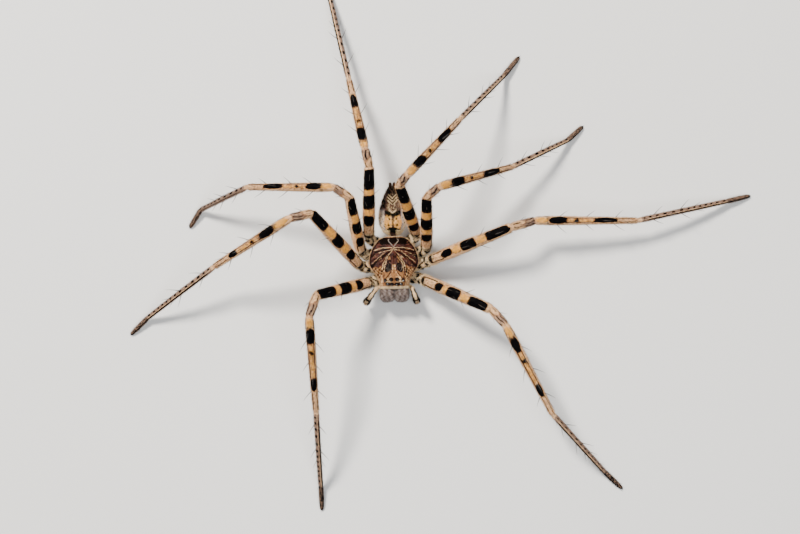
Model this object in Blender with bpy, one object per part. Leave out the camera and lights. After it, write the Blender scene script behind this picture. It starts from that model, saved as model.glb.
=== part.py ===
"""A male banded huntsman spider at life size, standing with its legs spread.

Metres, +Z up, head towards -Y, the spider's left side towards +X. Sizes below are in
millimetres and are scaled to metres when each mesh is made. Each named piece of the body is
one closed object, and neighbours meet face to face with a small gap.
"""
import math
import random

import bmesh
import bpy
from mathutils import Matrix, Vector

MM = 0.001
UP = Vector((0.0, 0.0, 1.0))

# Joint gaps
GAP = 0.3
EYE_GAP = 0.12

# Prosoma, whose fovea is at Y = 0
PROSOMA_FRONT = -7.05
STERNUM_Z = 2.0
FLANK_FOOT_Z = 2.5
RIM_UNDER_Z = 4.65
RIM_Z = 4.9
# Flank below the rim, an ellipse seen from above
FLANK_MIDDLE_Y = -1.7
FLANK_HALF_WIDTH = 3.3
FLANK_HALF_LENGTH = 4.2
# Cheeks of the head, which carry the palps
CHEEK_Y = -6.2
CHEEK_HALF_WIDTH = 2.05
# Carapace stations: place along Y, half width at the rim, height of the crest
CARAPACE_STATIONS = (
    (2.25, 2.1, 5.25),
    (1.9, 2.7, 5.6),
    (1.0, 3.3, 6.0),
    (0.3, 3.85, 6.15),
    (-0.7, 4.3, 6.35),
    (-2.2, 4.6, 6.7),
    (-3.2, 4.35, 6.85),
    (-4.1, 3.7, 6.9),
    (-5.0, 3.1, 6.85),
    (-5.9, 2.75, 6.65),
    (-6.6, 2.62, 6.3),
    (-7.05, 2.5, 5.85),
)
DOME_ANGLES = (0, 16, 34, 52, 70, 84)

# Mouth parts under the head
LABIUM_HALF_WIDTH = 0.55
MAXILLA_OFFSET = 1.05
MAXILLA_HALF_WIDTH = 0.62
MAXILLA_LENGTH = 2.4
MAXILLA_Y = -5.55

# Abdomen stations: place along Y, half width, half height, middle height
ABDOMEN_STATIONS = (
    (2.55, 0.45, 0.4, 4.0),
    (2.8, 0.95, 0.95, 4.1),
    (3.2, 1.6, 1.55, 4.15),
    (3.9, 2.2, 2.05, 4.15),
    (4.9, 2.55, 2.25, 4.1),
    (6.1, 2.55, 2.2, 4.05),
    (7.4, 2.3, 2.0, 4.0),
    (8.7, 1.9, 1.7, 3.95),
    (9.8, 1.45, 1.35, 3.9),
    (10.6, 1.05, 1.0, 3.9),
    (11.05, 0.75, 0.72, 3.9),
)
SPINNERET_LENGTH = 0.6
SPINNERET_RADIUS = 0.26
SPINNERET_SPREAD = 0.3

# Chelicerae: level slices, as height, place along Y of the front, half width
CHELICERA_OFFSET = 1.37
CHELICERA_FULLNESS = 2.6
CHELICERA_BACK_Y = PROSOMA_FRONT - GAP
CHELICERA_SLICES = (
    (5.35, -8.3, 0.85),
    (5.1, -8.85, 1.12),
    (4.5, -9.35, 1.21),
    (3.6, -9.55, 1.22),
    (2.8, -9.5, 1.12),
    (2.1, -9.25, 0.95),
    (1.7, -8.95, 0.75),
)
FANG_ROOT_RADIUS = 0.33
FANG_TIP_RADIUS = 0.1
FANG_REACH = 1.15
FANG_DROP = 0.75

# Eyes: distance from the middle, place along Y, radius; each stands out of the dome by a share
EYES = {
    "anterior_median": (0.45, -6.42, 0.2),
    "anterior_lateral": (1.2, -6.3, 0.27),
    "posterior_median": (0.62, -5.55, 0.2),
    "posterior_lateral": (1.6, -5.65, 0.25),
}
EYE_STAND = 0.25

# Palps, from the cheek: lengths, rises and radii of trochanter, femur, patella and tibia, and the bulb
PALP_ROOT_Y = -6.62
PALP_ROOT_Z = 3.4
PALP_HEADINGS = {"left": -71, "right": -128}
PALP_TROCHANTER_SWEEP = 18
PALP_LENGTHS = (0.8, 1.9, 1.05, 1.25)
PALP_RISES = {"left": (12, 58, 0, -70), "right": (12, 48, -6, -54)}
PALP_RADII = (0.3, 0.3, 0.36, 0.48, 0.5)
PALP_BULB_LENGTH = 2.3
PALP_BULB_RISE = -80
PALP_BULB_PROFILE = ((0.0, 0.46), (0.25, 0.6), (0.55, 0.6), (0.82, 0.4), (1.0, 0.16))

# The body is swung a little between the legs, in degrees about the fovea
BODY_SWING = -2.9

# Legs, pairs 1 to 4 from the front: place of the hip, and where the coxa leaves the flank,
# as the angle round the flank's ellipse
HIP_Z = 3.7
COXA_ROOT_Z = 3.2
HIPS = {1: (4.7, -5.7), 2: (6.2, -2.6), 3: (5.9, -0.2), 4: (4.3, 2.5)}
COXA_ANGLES = {1: -50, 2: -19, 3: 10, 4: 39}
# True lengths of femur, patella, tibia, metatarsus and tarsus
LEG_LENGTHS = {
    1: (14.8, 4.4, 18.5, 16.6, 4.7),
    2: (16.8, 4.8, 18.9, 17.3, 4.6),
    3: (13.4, 3.5, 16.2, 13.2, 3.9),
    4: (14.5, 3.5, 14.8, 16.4, 4.7),
}
# Pose: (heading, rise) of femur, patella and tibia in degrees, then the headings of the
# metatarsus and the tarsus, whose rises follow from the floor
LEG_POSES = {
    "right_1": ((-171, 50), (-112, 29), (-91, -23), -92, -92),
    "right_2": ((128, 42), (-170, 39), (-153, -30), -148, -140),
    "right_3": ((97, 42), (144, 27), (175, -16), -161, -127),
    "right_4": ((85, 31), (99, 26), (99, -28), 99, 97),
    "left_1": ((-28, 24), (-53, 36), (-66, -11), -52, -48),
    "left_2": ((18, 19), (12, -26), (-4, -7), 8, 9),
    "left_3": ((86, 49), (36, 36), (12, -32), 22, 38),
    "left_4": ((106, 52), (45, 53), (43, -22), 42, 47),
}
TARSUS_RISE = -12
TIP_Z = 0.16
# Upward bow of a segment, as a share of its length
BOWS = {"femur": 0.035, "patella": 0.0, "tibia": 0.02, "metatarsus": 0.03, "tarsus": 0.0}
# Profiles: place along the piece, radius on leg 2; other pairs take a share of it
COXA_PROFILE = ((0.0, 0.8), (0.3, 0.9), (0.6, 0.86), (0.8, 0.78), (1.0, 0.78))
FEMUR_PROFILE = ((0.0, 0.78), (0.1, 0.97), (0.3, 1.13), (0.55, 1.08), (0.8, 0.96), (0.93, 0.92), (1.0, 0.82))
PATELLA_PROFILE = ((0.0, 0.74), (0.27, 0.8), (0.6, 0.79), (0.82, 0.76), (1.0, 0.68))
TIBIA_PROFILE = ((0.0, 0.68), (0.06, 0.8), (0.25, 0.82), (0.5, 0.73), (0.75, 0.65), (0.95, 0.59), (1.0, 0.53))
METATARSUS_PROFILE = ((0.0, 0.48), (0.05, 0.54), (0.3, 0.52), (0.6, 0.5), (0.92, 0.46), (1.0, 0.44))
TARSUS_PROFILE = ((0.12, 0.46), (0.5, 0.45), (0.82, 0.4), (0.95, 0.32), (1.0, 0.2))
PAIR_GIRTH = {1: 1.0, 2: 1.0, 3: 0.97, 4: 0.97}
LEG_SIDES = 10
FOOT_SIDES = 8

# Leg spines: place along the piece, and the turn round it from its side towards its top, in degrees
SPINE_LENGTH = 2.1
SPINE_ROOT_RADIUS = 0.25
SPINE_TIP_RADIUS = 0.06
SPINE_LEAN = 40
SPINE_SINK = 0.4
SPINE_SIDES = 5
SPINE_VARIATION = 0.14
SPINE_SEED = 7
SPINE_PLACES = {
    "femur": ((0.42, 90), (0.62, 35), (0.64, 145), (0.82, 90)),
    "tibia": ((0.22, 10), (0.24, 170), (0.48, 5), (0.5, 175), (0.76, 10), (0.78, 170)),
    "metatarsus": ((0.16, 20), (0.18, 160), (0.46, 20), (0.48, 160)),
}

# Colours and roughness
CARAPACE = ((0.27, 0.14, 0.08), 0.55)
ABDOMEN = ((0.42, 0.33, 0.24), 0.7)
LEG_TAN = ((0.6, 0.42, 0.25), 0.55)
LEG_DARK = ((0.2, 0.15, 0.12), 0.6)
COXA_CREAM = ((0.62, 0.52, 0.38), 0.6)
CHELICERA_GREY = ((0.3, 0.29, 0.28), 0.65)
FANG_BLACK = ((0.03, 0.015, 0.01), 0.2)
EYE_BLACK = ((0.01, 0.01, 0.012), 0.08)


def clear_scene():
    for item in list(bpy.data.objects):
        bpy.data.objects.remove(item, do_unlink=True)


def new_collection(name):
    collection = bpy.data.collections.new(name)
    bpy.context.scene.collection.children.link(collection)
    return collection


def finish(name, colour, roughness):
    material = bpy.data.materials.new(name)
    material.use_nodes = True
    shader = material.node_tree.nodes["Principled BSDF"]
    shader.inputs["Base Color"].default_value = (*colour, 1.0)
    shader.inputs["Roughness"].default_value = roughness
    shader.inputs["Metallic"].default_value = 0.0
    return material


def add_object(name, bm, look, collection):
    """Turns a bmesh in millimetres into a named object in metres with its own material."""
    bmesh.ops.recalc_face_normals(bm, faces=bm.faces)
    bmesh.ops.scale(bm, vec=(MM, MM, MM), verts=bm.verts)
    mesh = bpy.data.meshes.new(name)
    bm.to_mesh(mesh)
    bm.free()
    mesh.shade_smooth()
    mesh.set_sharp_from_angle(angle=math.radians(40))
    item = bpy.data.objects.new(name, mesh)
    collection.objects.link(item)
    mesh.materials.append(finish(name, *look))
    return item


def loft(bm, rings):
    """Skins a row of rings that have the same number of points, and closes both ends."""
    rows = [[bm.verts.new(point) for point in points] for points in rings]
    for row, following in zip(rows, rows[1:]):
        for index in range(len(row)):
            after = (index + 1) % len(row)
            bm.faces.new((row[index], row[after], following[after], following[index]))
    bm.faces.new(list(reversed(rows[0])))
    bm.faces.new(rows[-1])
    return bm


def direction(heading, rise):
    turn = math.radians(heading)
    lift = math.radians(rise)
    return Vector((math.cos(turn) * math.cos(lift), math.sin(turn) * math.cos(lift), math.sin(lift)))


def arc(start, control, end):
    """A quadratic curve, as a function that gives its point and its direction."""
    def at(place):
        point = start * (1 - place) ** 2 + control * 2 * place * (1 - place) + end * place ** 2
        along = (control - start) * (1 - place) + (end - control) * place
        return point, along.normalized()
    return at


def bowed(start, end, bow):
    """The curve of one leg segment, bowed upwards by a share of its length."""
    along = (end - start).normalized()
    side = along.cross(UP).normalized()
    up = side.cross(along)
    return arc(start, (start + end) / 2 + up * 2 * bow * (end - start).length, end)


def ring(centre, along, radius, sides, plane=None):
    """A round section square to along; plane, a point and a normal, is where its points slide to."""
    side = along.cross(UP).normalized()
    up = side.cross(along)
    points = []
    for index in range(sides):
        turn = 2 * math.pi * index / sides
        point = centre + (side * math.cos(turn) + up * math.sin(turn)) * radius
        if plane:
            spot, normal = plane
            point = point + along * ((spot - point).dot(normal) / along.dot(normal))
        points.append(point)
    return points


def tube_rings(curve, profile, sides, girth=1.0, first_plane=None, last_plane=None):
    rings = []
    for place, radius in profile:
        centre, along = curve(place)
        plane = first_plane if place == 0.0 else last_plane if place == 1.0 else None
        rings.append(ring(centre, along, radius * girth, sides, plane))
    return rings


def joint_planes(joint, curve_in, curve_out, gap=GAP):
    """The two faces of a joint: where the inner piece ends, and where the outer one starts."""
    normal = (curve_in(1.0)[1] + curve_out(0.0)[1]).normalized()
    return (joint - normal * gap / 2, normal), (joint + normal * gap / 2, normal)


def radius_at(profile, place):
    for (before, radius_before), (after, radius_after) in zip(profile, profile[1:]):
        if before <= place <= after:
            share = (place - before) / (after - before)
            return radius_before + (radius_after - radius_before) * share
    raise ValueError("the place is not on the profile")


def keep_largest(mesh):
    """Leaves only the closed surface with the most faces."""
    bm = bmesh.new()
    bm.from_mesh(mesh)
    waiting = set(bm.faces)
    surfaces = []
    while waiting:
        reached = [waiting.pop()]
        surface = []
        while reached:
            face = reached.pop()
            surface.append(face)
            for edge in face.edges:
                for neighbour in edge.link_faces:
                    if neighbour in waiting:
                        waiting.remove(neighbour)
                        reached.append(neighbour)
        surfaces.append(surface)
    surfaces.sort(key=len)
    for surface in surfaces[:-1]:
        bmesh.ops.delete(bm, geom=surface, context="FACES")
    loose = [vertex for vertex in bm.verts if not vertex.link_faces]
    bmesh.ops.delete(bm, geom=loose, context="VERTS")
    bm.to_mesh(mesh)
    bm.free()


def fuse(item, pieces):
    """Joins a collection of closed pieces to an object, and removes the pieces."""
    boolean(item, pieces, "UNION")
    graph = bpy.context.evaluated_depsgraph_get()
    mesh = bpy.data.meshes.new_from_object(item.evaluated_get(graph))
    item.modifiers.clear()
    item.data = mesh
    keep_largest(mesh)
    for piece in list(pieces.objects):
        bpy.data.objects.remove(piece, do_unlink=True)
    bpy.data.collections.remove(pieces)


def add_spine(name, curve, place, turn, radius, draw, pieces):
    """A tapered spine that leans along the leg, with its root sunk into it."""
    centre, along = curve(place)
    side = along.cross(UP).normalized()
    up = side.cross(along)
    angle = math.radians(turn + draw.uniform(-8, 8))
    outward = side * math.cos(angle) + up * math.sin(angle)
    lean = math.radians(SPINE_LEAN + draw.uniform(-6, 6))
    way = outward * math.sin(lean) + along * math.cos(lean)
    length = SPINE_LENGTH * (1 + draw.uniform(-SPINE_VARIATION, SPINE_VARIATION)) + SPINE_SINK
    start = centre + outward * radius - way * SPINE_SINK

    bm = bmesh.new()
    bmesh.ops.create_cone(bm, cap_ends=True, segments=SPINE_SIDES, radius1=SPINE_ROOT_RADIUS,
                          radius2=SPINE_TIP_RADIUS, depth=length)
    bmesh.ops.rotate(bm, matrix=way.to_track_quat("Z", "Y").to_matrix(), verts=bm.verts)
    bmesh.ops.translate(bm, vec=start + way * length / 2, verts=bm.verts)
    return add_cutter(name, bm, pieces)


def add_spines(item, piece, curve, profile, girth, draw):
    pieces = new_collection(f"spines_{item.name}")
    for number, (place, turn) in enumerate(SPINE_PLACES[piece]):
        place += draw.uniform(-0.02, 0.02)
        radius = radius_at(profile, place) * girth
        add_spine(f"spine_{item.name}_{number}", curve, place, turn, radius, draw, pieces)
    fuse(item, pieces)


def on_floor(points):
    return [Vector((point.x, point.y, max(point.z, 0.0))) for point in points]


def flank_half_width(y):
    reach = (y - FLANK_MIDDLE_Y) / FLANK_HALF_LENGTH
    return FLANK_HALF_WIDTH * math.sqrt(max(1 - reach * reach, 0.12))


def dome_point(rim, crest, turn):
    return rim * math.cos(turn) ** 0.9, RIM_Z + (crest - RIM_Z) * math.sin(turn) ** 0.85


def dome_height(x, y):
    """Height of the carapace over a point, between the stations on either side of it."""
    for (y_behind, rim_behind, crest_behind), (y_ahead, rim_ahead, crest_ahead) in zip(
            CARAPACE_STATIONS, CARAPACE_STATIONS[1:]):
        if y_ahead <= y <= y_behind:
            share = (y - y_behind) / (y_ahead - y_behind)
            rim = rim_behind + (rim_ahead - rim_behind) * share
            crest = crest_behind + (crest_ahead - crest_behind) * share
            turn = math.acos(min(abs(x) / rim, 1.0) ** (1 / 0.9))
            return dome_point(rim, crest, turn)[1]
    raise ValueError("the point is not over the carapace")


def on_dome(x, y, stand):
    """A point that stands off the carapace by a distance, square to it."""
    step = 0.1
    slope_x = (dome_height(x + step, y) - dome_height(x - step, y)) / (2 * step)
    slope_y = (dome_height(x, y + step) - dome_height(x, y - step)) / (2 * step)
    normal = Vector((-slope_x, -slope_y, 1.0)).normalized()
    return Vector((x, y, dome_height(x, y))) + normal * stand


def prosoma_section(y, rim, crest):
    """Half of a section from the middle of the sternum up to the crest, then mirrored."""
    flank = CHEEK_HALF_WIDTH if y < CHEEK_Y else min(flank_half_width(y), rim - 0.25)
    half = [
        (flank * 0.55, STERNUM_Z),
        (flank * 0.85, STERNUM_Z + 0.12),
        (flank, FLANK_FOOT_Z),
        (flank, RIM_UNDER_Z),
        (rim - 0.08, RIM_UNDER_Z + 0.05),
    ]
    half.extend(dome_point(rim, crest, math.radians(angle)) for angle in DOME_ANGLES)
    right = [Vector((-x, y, z)) for x, z in reversed(half)]
    left = [Vector((x, y, z)) for x, z in half]
    return left + right


def add_ellipsoid(bm, centre, sizes, columns=8, rows=6):
    made = bmesh.ops.create_uvsphere(bm, u_segments=columns, v_segments=rows, radius=1.0)["verts"]
    bmesh.ops.scale(bm, vec=sizes, verts=made)
    bmesh.ops.translate(bm, vec=centre, verts=made)


def add_cutter(name, bm, collection):
    bmesh.ops.scale(bm, vec=(MM, MM, MM), verts=bm.verts)
    mesh = bpy.data.meshes.new(name)
    bm.to_mesh(mesh)
    bm.free()
    cutter = bpy.data.objects.new(name, mesh)
    collection.objects.link(cutter)
    cutter.hide_render = True
    cutter.display_type = "WIRE"
    return cutter


def boolean(item, operand, operation):
    """Joins or cuts with one object or a whole collection."""
    modifier = item.modifiers.new(operation.title(), "BOOLEAN")
    modifier.operation = operation
    modifier.solver = "EXACT"
    if isinstance(operand, bpy.types.Collection):
        modifier.operand_type = "COLLECTION"
        modifier.collection = operand
    else:
        modifier.object = operand
    return modifier


def build_prosoma(parts, cutters):
    bm = bmesh.new()
    loft(bm, [prosoma_section(*station) for station in CARAPACE_STATIONS])
    prosoma = add_object("prosoma", bm, CARAPACE, parts)

    for name, x, half_width in (("labium", 0.0, LABIUM_HALF_WIDTH),
                                ("maxilla_left", MAXILLA_OFFSET, MAXILLA_HALF_WIDTH),
                                ("maxilla_right", -MAXILLA_OFFSET, MAXILLA_HALF_WIDTH)):
        length = MAXILLA_LENGTH if x else MAXILLA_LENGTH * 0.6
        bm = bmesh.new()
        add_ellipsoid(bm, (x, MAXILLA_Y, STERNUM_Z + 0.25), (half_width, length / 2, 0.6))
        boolean(prosoma, add_cutter(name, bm, cutters), "UNION")

    for kind, (x, y, radius) in EYES.items():
        for side, sign in (("left", 1), ("right", -1)):
            centre = on_dome(sign * x, y, radius * EYE_STAND)
            bm = bmesh.new()
            size = radius + EYE_GAP
            add_ellipsoid(bm, centre, (size, size, size))
            boolean(prosoma, add_cutter(f"socket_{kind}_{side}", bm, cutters), "DIFFERENCE")
            bm = bmesh.new()
            add_ellipsoid(bm, centre, (radius, radius, radius))
            add_object(f"eye_{kind}_{side}", bm, EYE_BLACK, parts)


def build_abdomen(parts):
    rings = []
    for y, half_width, half_height, middle in ABDOMEN_STATIONS:
        points = []
        for index in range(16):
            turn = 2 * math.pi * index / 16
            points.append(Vector((half_width * math.cos(turn), y, middle + half_height * math.sin(turn))))
        rings.append(points)
    add_object("abdomen", loft(bmesh.new(), rings), ABDOMEN, parts)


def build_spinnerets(parts, cutters):
    """A short base plate with two pairs of small cones."""
    tip_y, tip_half_width, tip_half_height, tip_z = ABDOMEN_STATIONS[-1]
    start_y = tip_y + GAP
    base = []
    for place, share in ((0.0, 1.0), (0.22, 0.85)):
        points = []
        for index in range(10):
            turn = 2 * math.pi * index / 10
            points.append(Vector((tip_half_width * share * math.cos(turn), start_y + place,
                                  tip_z + tip_half_height * share * math.sin(turn))))
        base.append(points)
    spinnerets = add_object("spinnerets", loft(bmesh.new(), base), LEG_DARK, parts)
    for name, side, rise in (("upper_left", 1, 1), ("upper_right", -1, 1),
                             ("lower_left", 1, -1), ("lower_right", -1, -1)):
        root = Vector((side * SPINNERET_SPREAD, start_y + 0.1, tip_z + rise * SPINNERET_SPREAD))
        end = root + Vector((side * 0.08, SPINNERET_LENGTH, rise * 0.02))
        curve = arc(root, (root + end) / 2, end)
        profile = ((0.0, SPINNERET_RADIUS), (0.7, SPINNERET_RADIUS * 0.85), (1.0, SPINNERET_RADIUS * 0.5))
        bm = loft(bmesh.new(), tube_rings(curve, profile, 8))
        bmesh.ops.recalc_face_normals(bm, faces=bm.faces)
        boolean(spinnerets, add_cutter(f"spinneret_{name}", bm, cutters), "UNION")


def build_chelicera(side, sign, parts):
    """A stout upright block with a flat back, and the fang folded inwards under it."""
    rings = []
    for z, front, half_width in CHELICERA_SLICES:
        half_depth = (CHELICERA_BACK_Y - front) / 1.6
        middle = front + half_depth
        points = []
        for index in range(16):
            turn = 2 * math.pi * index / 16
            across = math.copysign(abs(math.cos(turn)) ** (2 / CHELICERA_FULLNESS), math.cos(turn))
            ahead = math.copysign(abs(math.sin(turn)) ** (2 / CHELICERA_FULLNESS), math.sin(turn))
            x = sign * CHELICERA_OFFSET + half_width * across
            y = middle + half_depth * ahead
            points.append(Vector((x, min(y, CHELICERA_BACK_Y), z)))
        rings.append(points)
    add_object(f"chelicera_{side}", loft(bmesh.new(), rings), CHELICERA_GREY, parts)

    lowest, front, _ = CHELICERA_SLICES[-1]
    root = Vector((sign * (CHELICERA_OFFSET + 0.1), (front + CHELICERA_BACK_Y) / 2 - 0.1, lowest - GAP))
    tip = root + Vector((-sign * FANG_REACH, 0.15, -FANG_DROP))
    curve = arc(root, root + Vector((-sign * 0.15, 0.0, -FANG_DROP)), tip)
    profile = tuple((place / 4, FANG_ROOT_RADIUS + (FANG_TIP_RADIUS - FANG_ROOT_RADIUS) * place / 4)
                    for place in range(5))
    rings = tube_rings(curve, profile, 8, first_plane=(root, UP))
    add_object(f"fang_{side}", loft(bmesh.new(), rings), FANG_BLACK, parts)


def build_palp(side, sign, parts):
    """Trochanter, femur, patella and tibia in one bent arm, then the bulb."""
    heading = PALP_HEADINGS[side]
    spots = [Vector((sign * (CHEEK_HALF_WIDTH + GAP), PALP_ROOT_Y, PALP_ROOT_Z))]
    root_heading = -PALP_TROCHANTER_SWEEP if sign > 0 else PALP_TROCHANTER_SWEEP - 180
    for length, rise in zip(PALP_LENGTHS, PALP_RISES[side]):
        way = direction(root_heading if len(spots) == 1 else heading, rise)
        spots.append(spots[-1] + way * length)
    bulb_end = spots[-1] + direction(heading, PALP_BULB_RISE) * PALP_BULB_LENGTH
    ways = [(after - before).normalized() for before, after in zip(spots, spots[1:])]
    bulb_curve = bowed(spots[-1], bulb_end, 0.0)
    arm_plane, bulb_plane = joint_planes(spots[-1], bowed(spots[-2], spots[-1], 0.0), bulb_curve)

    cheek_plane = (spots[0], Vector((sign, 0.0, 0.0)))
    rings = [ring(spots[0], ways[0], PALP_RADII[0], FOOT_SIDES, cheek_plane)]
    for number, way in enumerate(ways):
        radius = PALP_RADII[number + 1]
        if number:
            rings.append(ring((spots[number] + spots[number + 1]) / 2, way, radius * 1.1, FOOT_SIDES))
        if way is ways[-1]:
            rings.append(ring(spots[-1], way, radius, FOOT_SIDES, arm_plane))
        else:
            bend = (way + ways[number + 1]).normalized()
            rings.append(ring(spots[number + 1], bend, radius, FOOT_SIDES))
    add_object(f"palp_arm_{side}", loft(bmesh.new(), rings), LEG_TAN, parts)

    rings = tube_rings(bulb_curve, PALP_BULB_PROFILE, FOOT_SIDES, first_plane=bulb_plane)
    add_object(f"palp_bulb_{side}", loft(bmesh.new(), rings), LEG_DARK, parts)


def leg_curves(name, side_sign, pair):
    """The centre curves of one leg's pieces, from the coxa to the tarsus."""
    lengths = LEG_LENGTHS[pair]
    femur_way, patella_way, tibia_way, metatarsus_heading, tarsus_heading = LEG_POSES[name]
    spots = [Vector((side_sign * HIPS[pair][0], HIPS[pair][1], HIP_Z))]
    for length, way in zip(lengths, (femur_way, patella_way, tibia_way)):
        spots.append(spots[-1] + direction(*way) * length)
    tarsus = direction(tarsus_heading, TARSUS_RISE) * lengths[4]
    ankle_z = TIP_Z - tarsus.z
    metatarsus_rise = math.degrees(math.asin((ankle_z - spots[-1].z) / lengths[3]))
    spots.append(spots[-1] + direction(metatarsus_heading, metatarsus_rise) * lengths[3])
    spots.append(spots[-1] + tarsus)

    curves = {}
    for number, piece in enumerate(("femur", "patella", "tibia", "metatarsus", "tarsus")):
        curves[piece] = bowed(spots[number], spots[number + 1], BOWS[piece])

    turn = math.radians(COXA_ANGLES[pair])
    root = Vector((side_sign * FLANK_HALF_WIDTH * math.cos(turn),
                   FLANK_MIDDLE_Y + FLANK_HALF_LENGTH * math.sin(turn), COXA_ROOT_Z))
    outward = Vector((side_sign * math.cos(turn) / FLANK_HALF_WIDTH,
                      math.sin(turn) / FLANK_HALF_LENGTH, 0.0)).normalized()
    swing = Matrix.Rotation(math.radians(BODY_SWING), 3, "Z")
    root = swing @ (root + outward * GAP)
    outward = swing @ outward
    coxa_way = (spots[0] - root).normalized()
    lean = (coxa_way + curves["femur"](0.0)[1]).normalized()
    control = spots[0] - lean * (spots[0] - root).length * 0.42
    curves["coxa"] = arc(root, control, spots[0])
    return curves, spots, (root, outward)


def build_leg(side, side_sign, pair, parts):
    name = f"{side}_{pair}"
    curves, spots, flank_plane = leg_curves(name, side_sign, pair)
    girth = PAIR_GIRTH[pair]
    coxa_end, femur_start = joint_planes(spots[0], curves["coxa"], curves["femur"])
    femur_end, patella_start = joint_planes(spots[1], curves["femur"], curves["patella"])
    patella_end, tibia_start = joint_planes(spots[2], curves["patella"], curves["tibia"])
    tibia_end, metatarsus_start = joint_planes(spots[3], curves["tibia"], curves["metatarsus"])
    ankle, _ = joint_planes(spots[4], curves["metatarsus"], curves["tarsus"], gap=0.0)

    pieces = (
        ("coxa", COXA_PROFILE, flank_plane, coxa_end, COXA_CREAM),
        ("femur", FEMUR_PROFILE, femur_start, femur_end, LEG_TAN),
        ("patella", PATELLA_PROFILE, patella_start, patella_end, LEG_TAN),
        ("tibia", TIBIA_PROFILE, tibia_start, tibia_end, LEG_TAN),
    )
    draw = random.Random(f"{SPINE_SEED} {name}")
    for piece, profile, first_plane, last_plane, look in pieces:
        rings = tube_rings(curves[piece], profile, LEG_SIDES, girth, first_plane, last_plane)
        item = add_object(f"{piece}_{name}", loft(bmesh.new(), rings), look, parts)
        if piece in SPINE_PLACES:
            add_spines(item, piece, curves[piece], profile, girth, draw)

    rings = tube_rings(curves["metatarsus"], METATARSUS_PROFILE, FOOT_SIDES, girth, metatarsus_start, ankle)
    toe = tube_rings(curves["tarsus"], TARSUS_PROFILE, FOOT_SIDES)
    rings.extend(on_floor(points) for points in toe)
    foot = add_object(f"foot_{name}", loft(bmesh.new(), rings), LEG_DARK, parts)
    add_spines(foot, "metatarsus", curves["metatarsus"], METATARSUS_PROFILE, girth, draw)


def centre_on_floor(parts):
    """An empty for every piece, which puts the middle of the animal's box over the origin."""
    corners = [vertex.co for item in parts.objects for vertex in item.data.vertices]
    middle_x = (min(spot.x for spot in corners) + max(spot.x for spot in corners)) / 2
    middle_y = (min(spot.y for spot in corners) + max(spot.y for spot in corners)) / 2
    stand = bpy.data.objects.new("placing", None)
    bpy.context.scene.collection.objects.link(stand)
    stand.location = (-middle_x, -middle_y, 0.0)
    return stand


def main():
    clear_scene()
    parts = new_collection("huntsman_spider")
    cutters = new_collection("cutters")
    build_prosoma(parts, cutters)
    build_abdomen(parts)
    build_spinnerets(parts, cutters)
    for side, sign in (("left", 1), ("right", -1)):
        build_chelicera(side, sign, parts)
        build_palp(side, sign, parts)
    body_pieces = list(parts.objects) + list(cutters.objects)
    for side, sign in (("left", 1), ("right", -1)):
        for pair in HIPS:
            build_leg(side, sign, pair, parts)

    stand = centre_on_floor(parts)
    body = bpy.data.objects.new("body", None)
    bpy.context.scene.collection.objects.link(body)
    body.parent = stand
    body.rotation_euler.z = math.radians(BODY_SWING)
    for item in parts.objects:
        item.parent = body if item in body_pieces else stand
    for item in cutters.objects:
        item.parent = body


main()
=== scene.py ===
"""Looks of a male banded huntsman spider: one skin, fine hair, spines, eyes, fangs and claws."""
import math
import random
from functools import reduce

import bpy
import numpy as np
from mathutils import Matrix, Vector


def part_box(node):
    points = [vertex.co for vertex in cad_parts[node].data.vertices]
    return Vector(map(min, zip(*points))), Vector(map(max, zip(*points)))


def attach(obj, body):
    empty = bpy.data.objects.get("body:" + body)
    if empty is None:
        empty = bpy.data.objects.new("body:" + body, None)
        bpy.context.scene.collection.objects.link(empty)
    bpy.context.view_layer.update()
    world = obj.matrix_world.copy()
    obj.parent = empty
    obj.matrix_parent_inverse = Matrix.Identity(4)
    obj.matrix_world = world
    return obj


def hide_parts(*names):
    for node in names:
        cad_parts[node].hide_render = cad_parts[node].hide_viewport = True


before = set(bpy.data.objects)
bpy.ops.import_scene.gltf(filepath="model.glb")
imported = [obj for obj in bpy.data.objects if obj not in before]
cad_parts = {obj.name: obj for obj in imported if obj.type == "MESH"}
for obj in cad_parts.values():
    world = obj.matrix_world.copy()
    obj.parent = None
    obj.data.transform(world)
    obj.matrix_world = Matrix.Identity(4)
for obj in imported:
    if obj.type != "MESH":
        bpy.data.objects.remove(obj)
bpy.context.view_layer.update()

MM = 0.001
UP = np.array([0.0, 0.0, 1.0])
AHEAD = np.array([1.0, 0.0, 0.0])
SIDES = (("left", 1), ("right", -1))

# The body is swung between the legs, in degrees about the fovea
BODY_SWING = -2.9
PROSOMA_FRONT = -7.05

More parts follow.
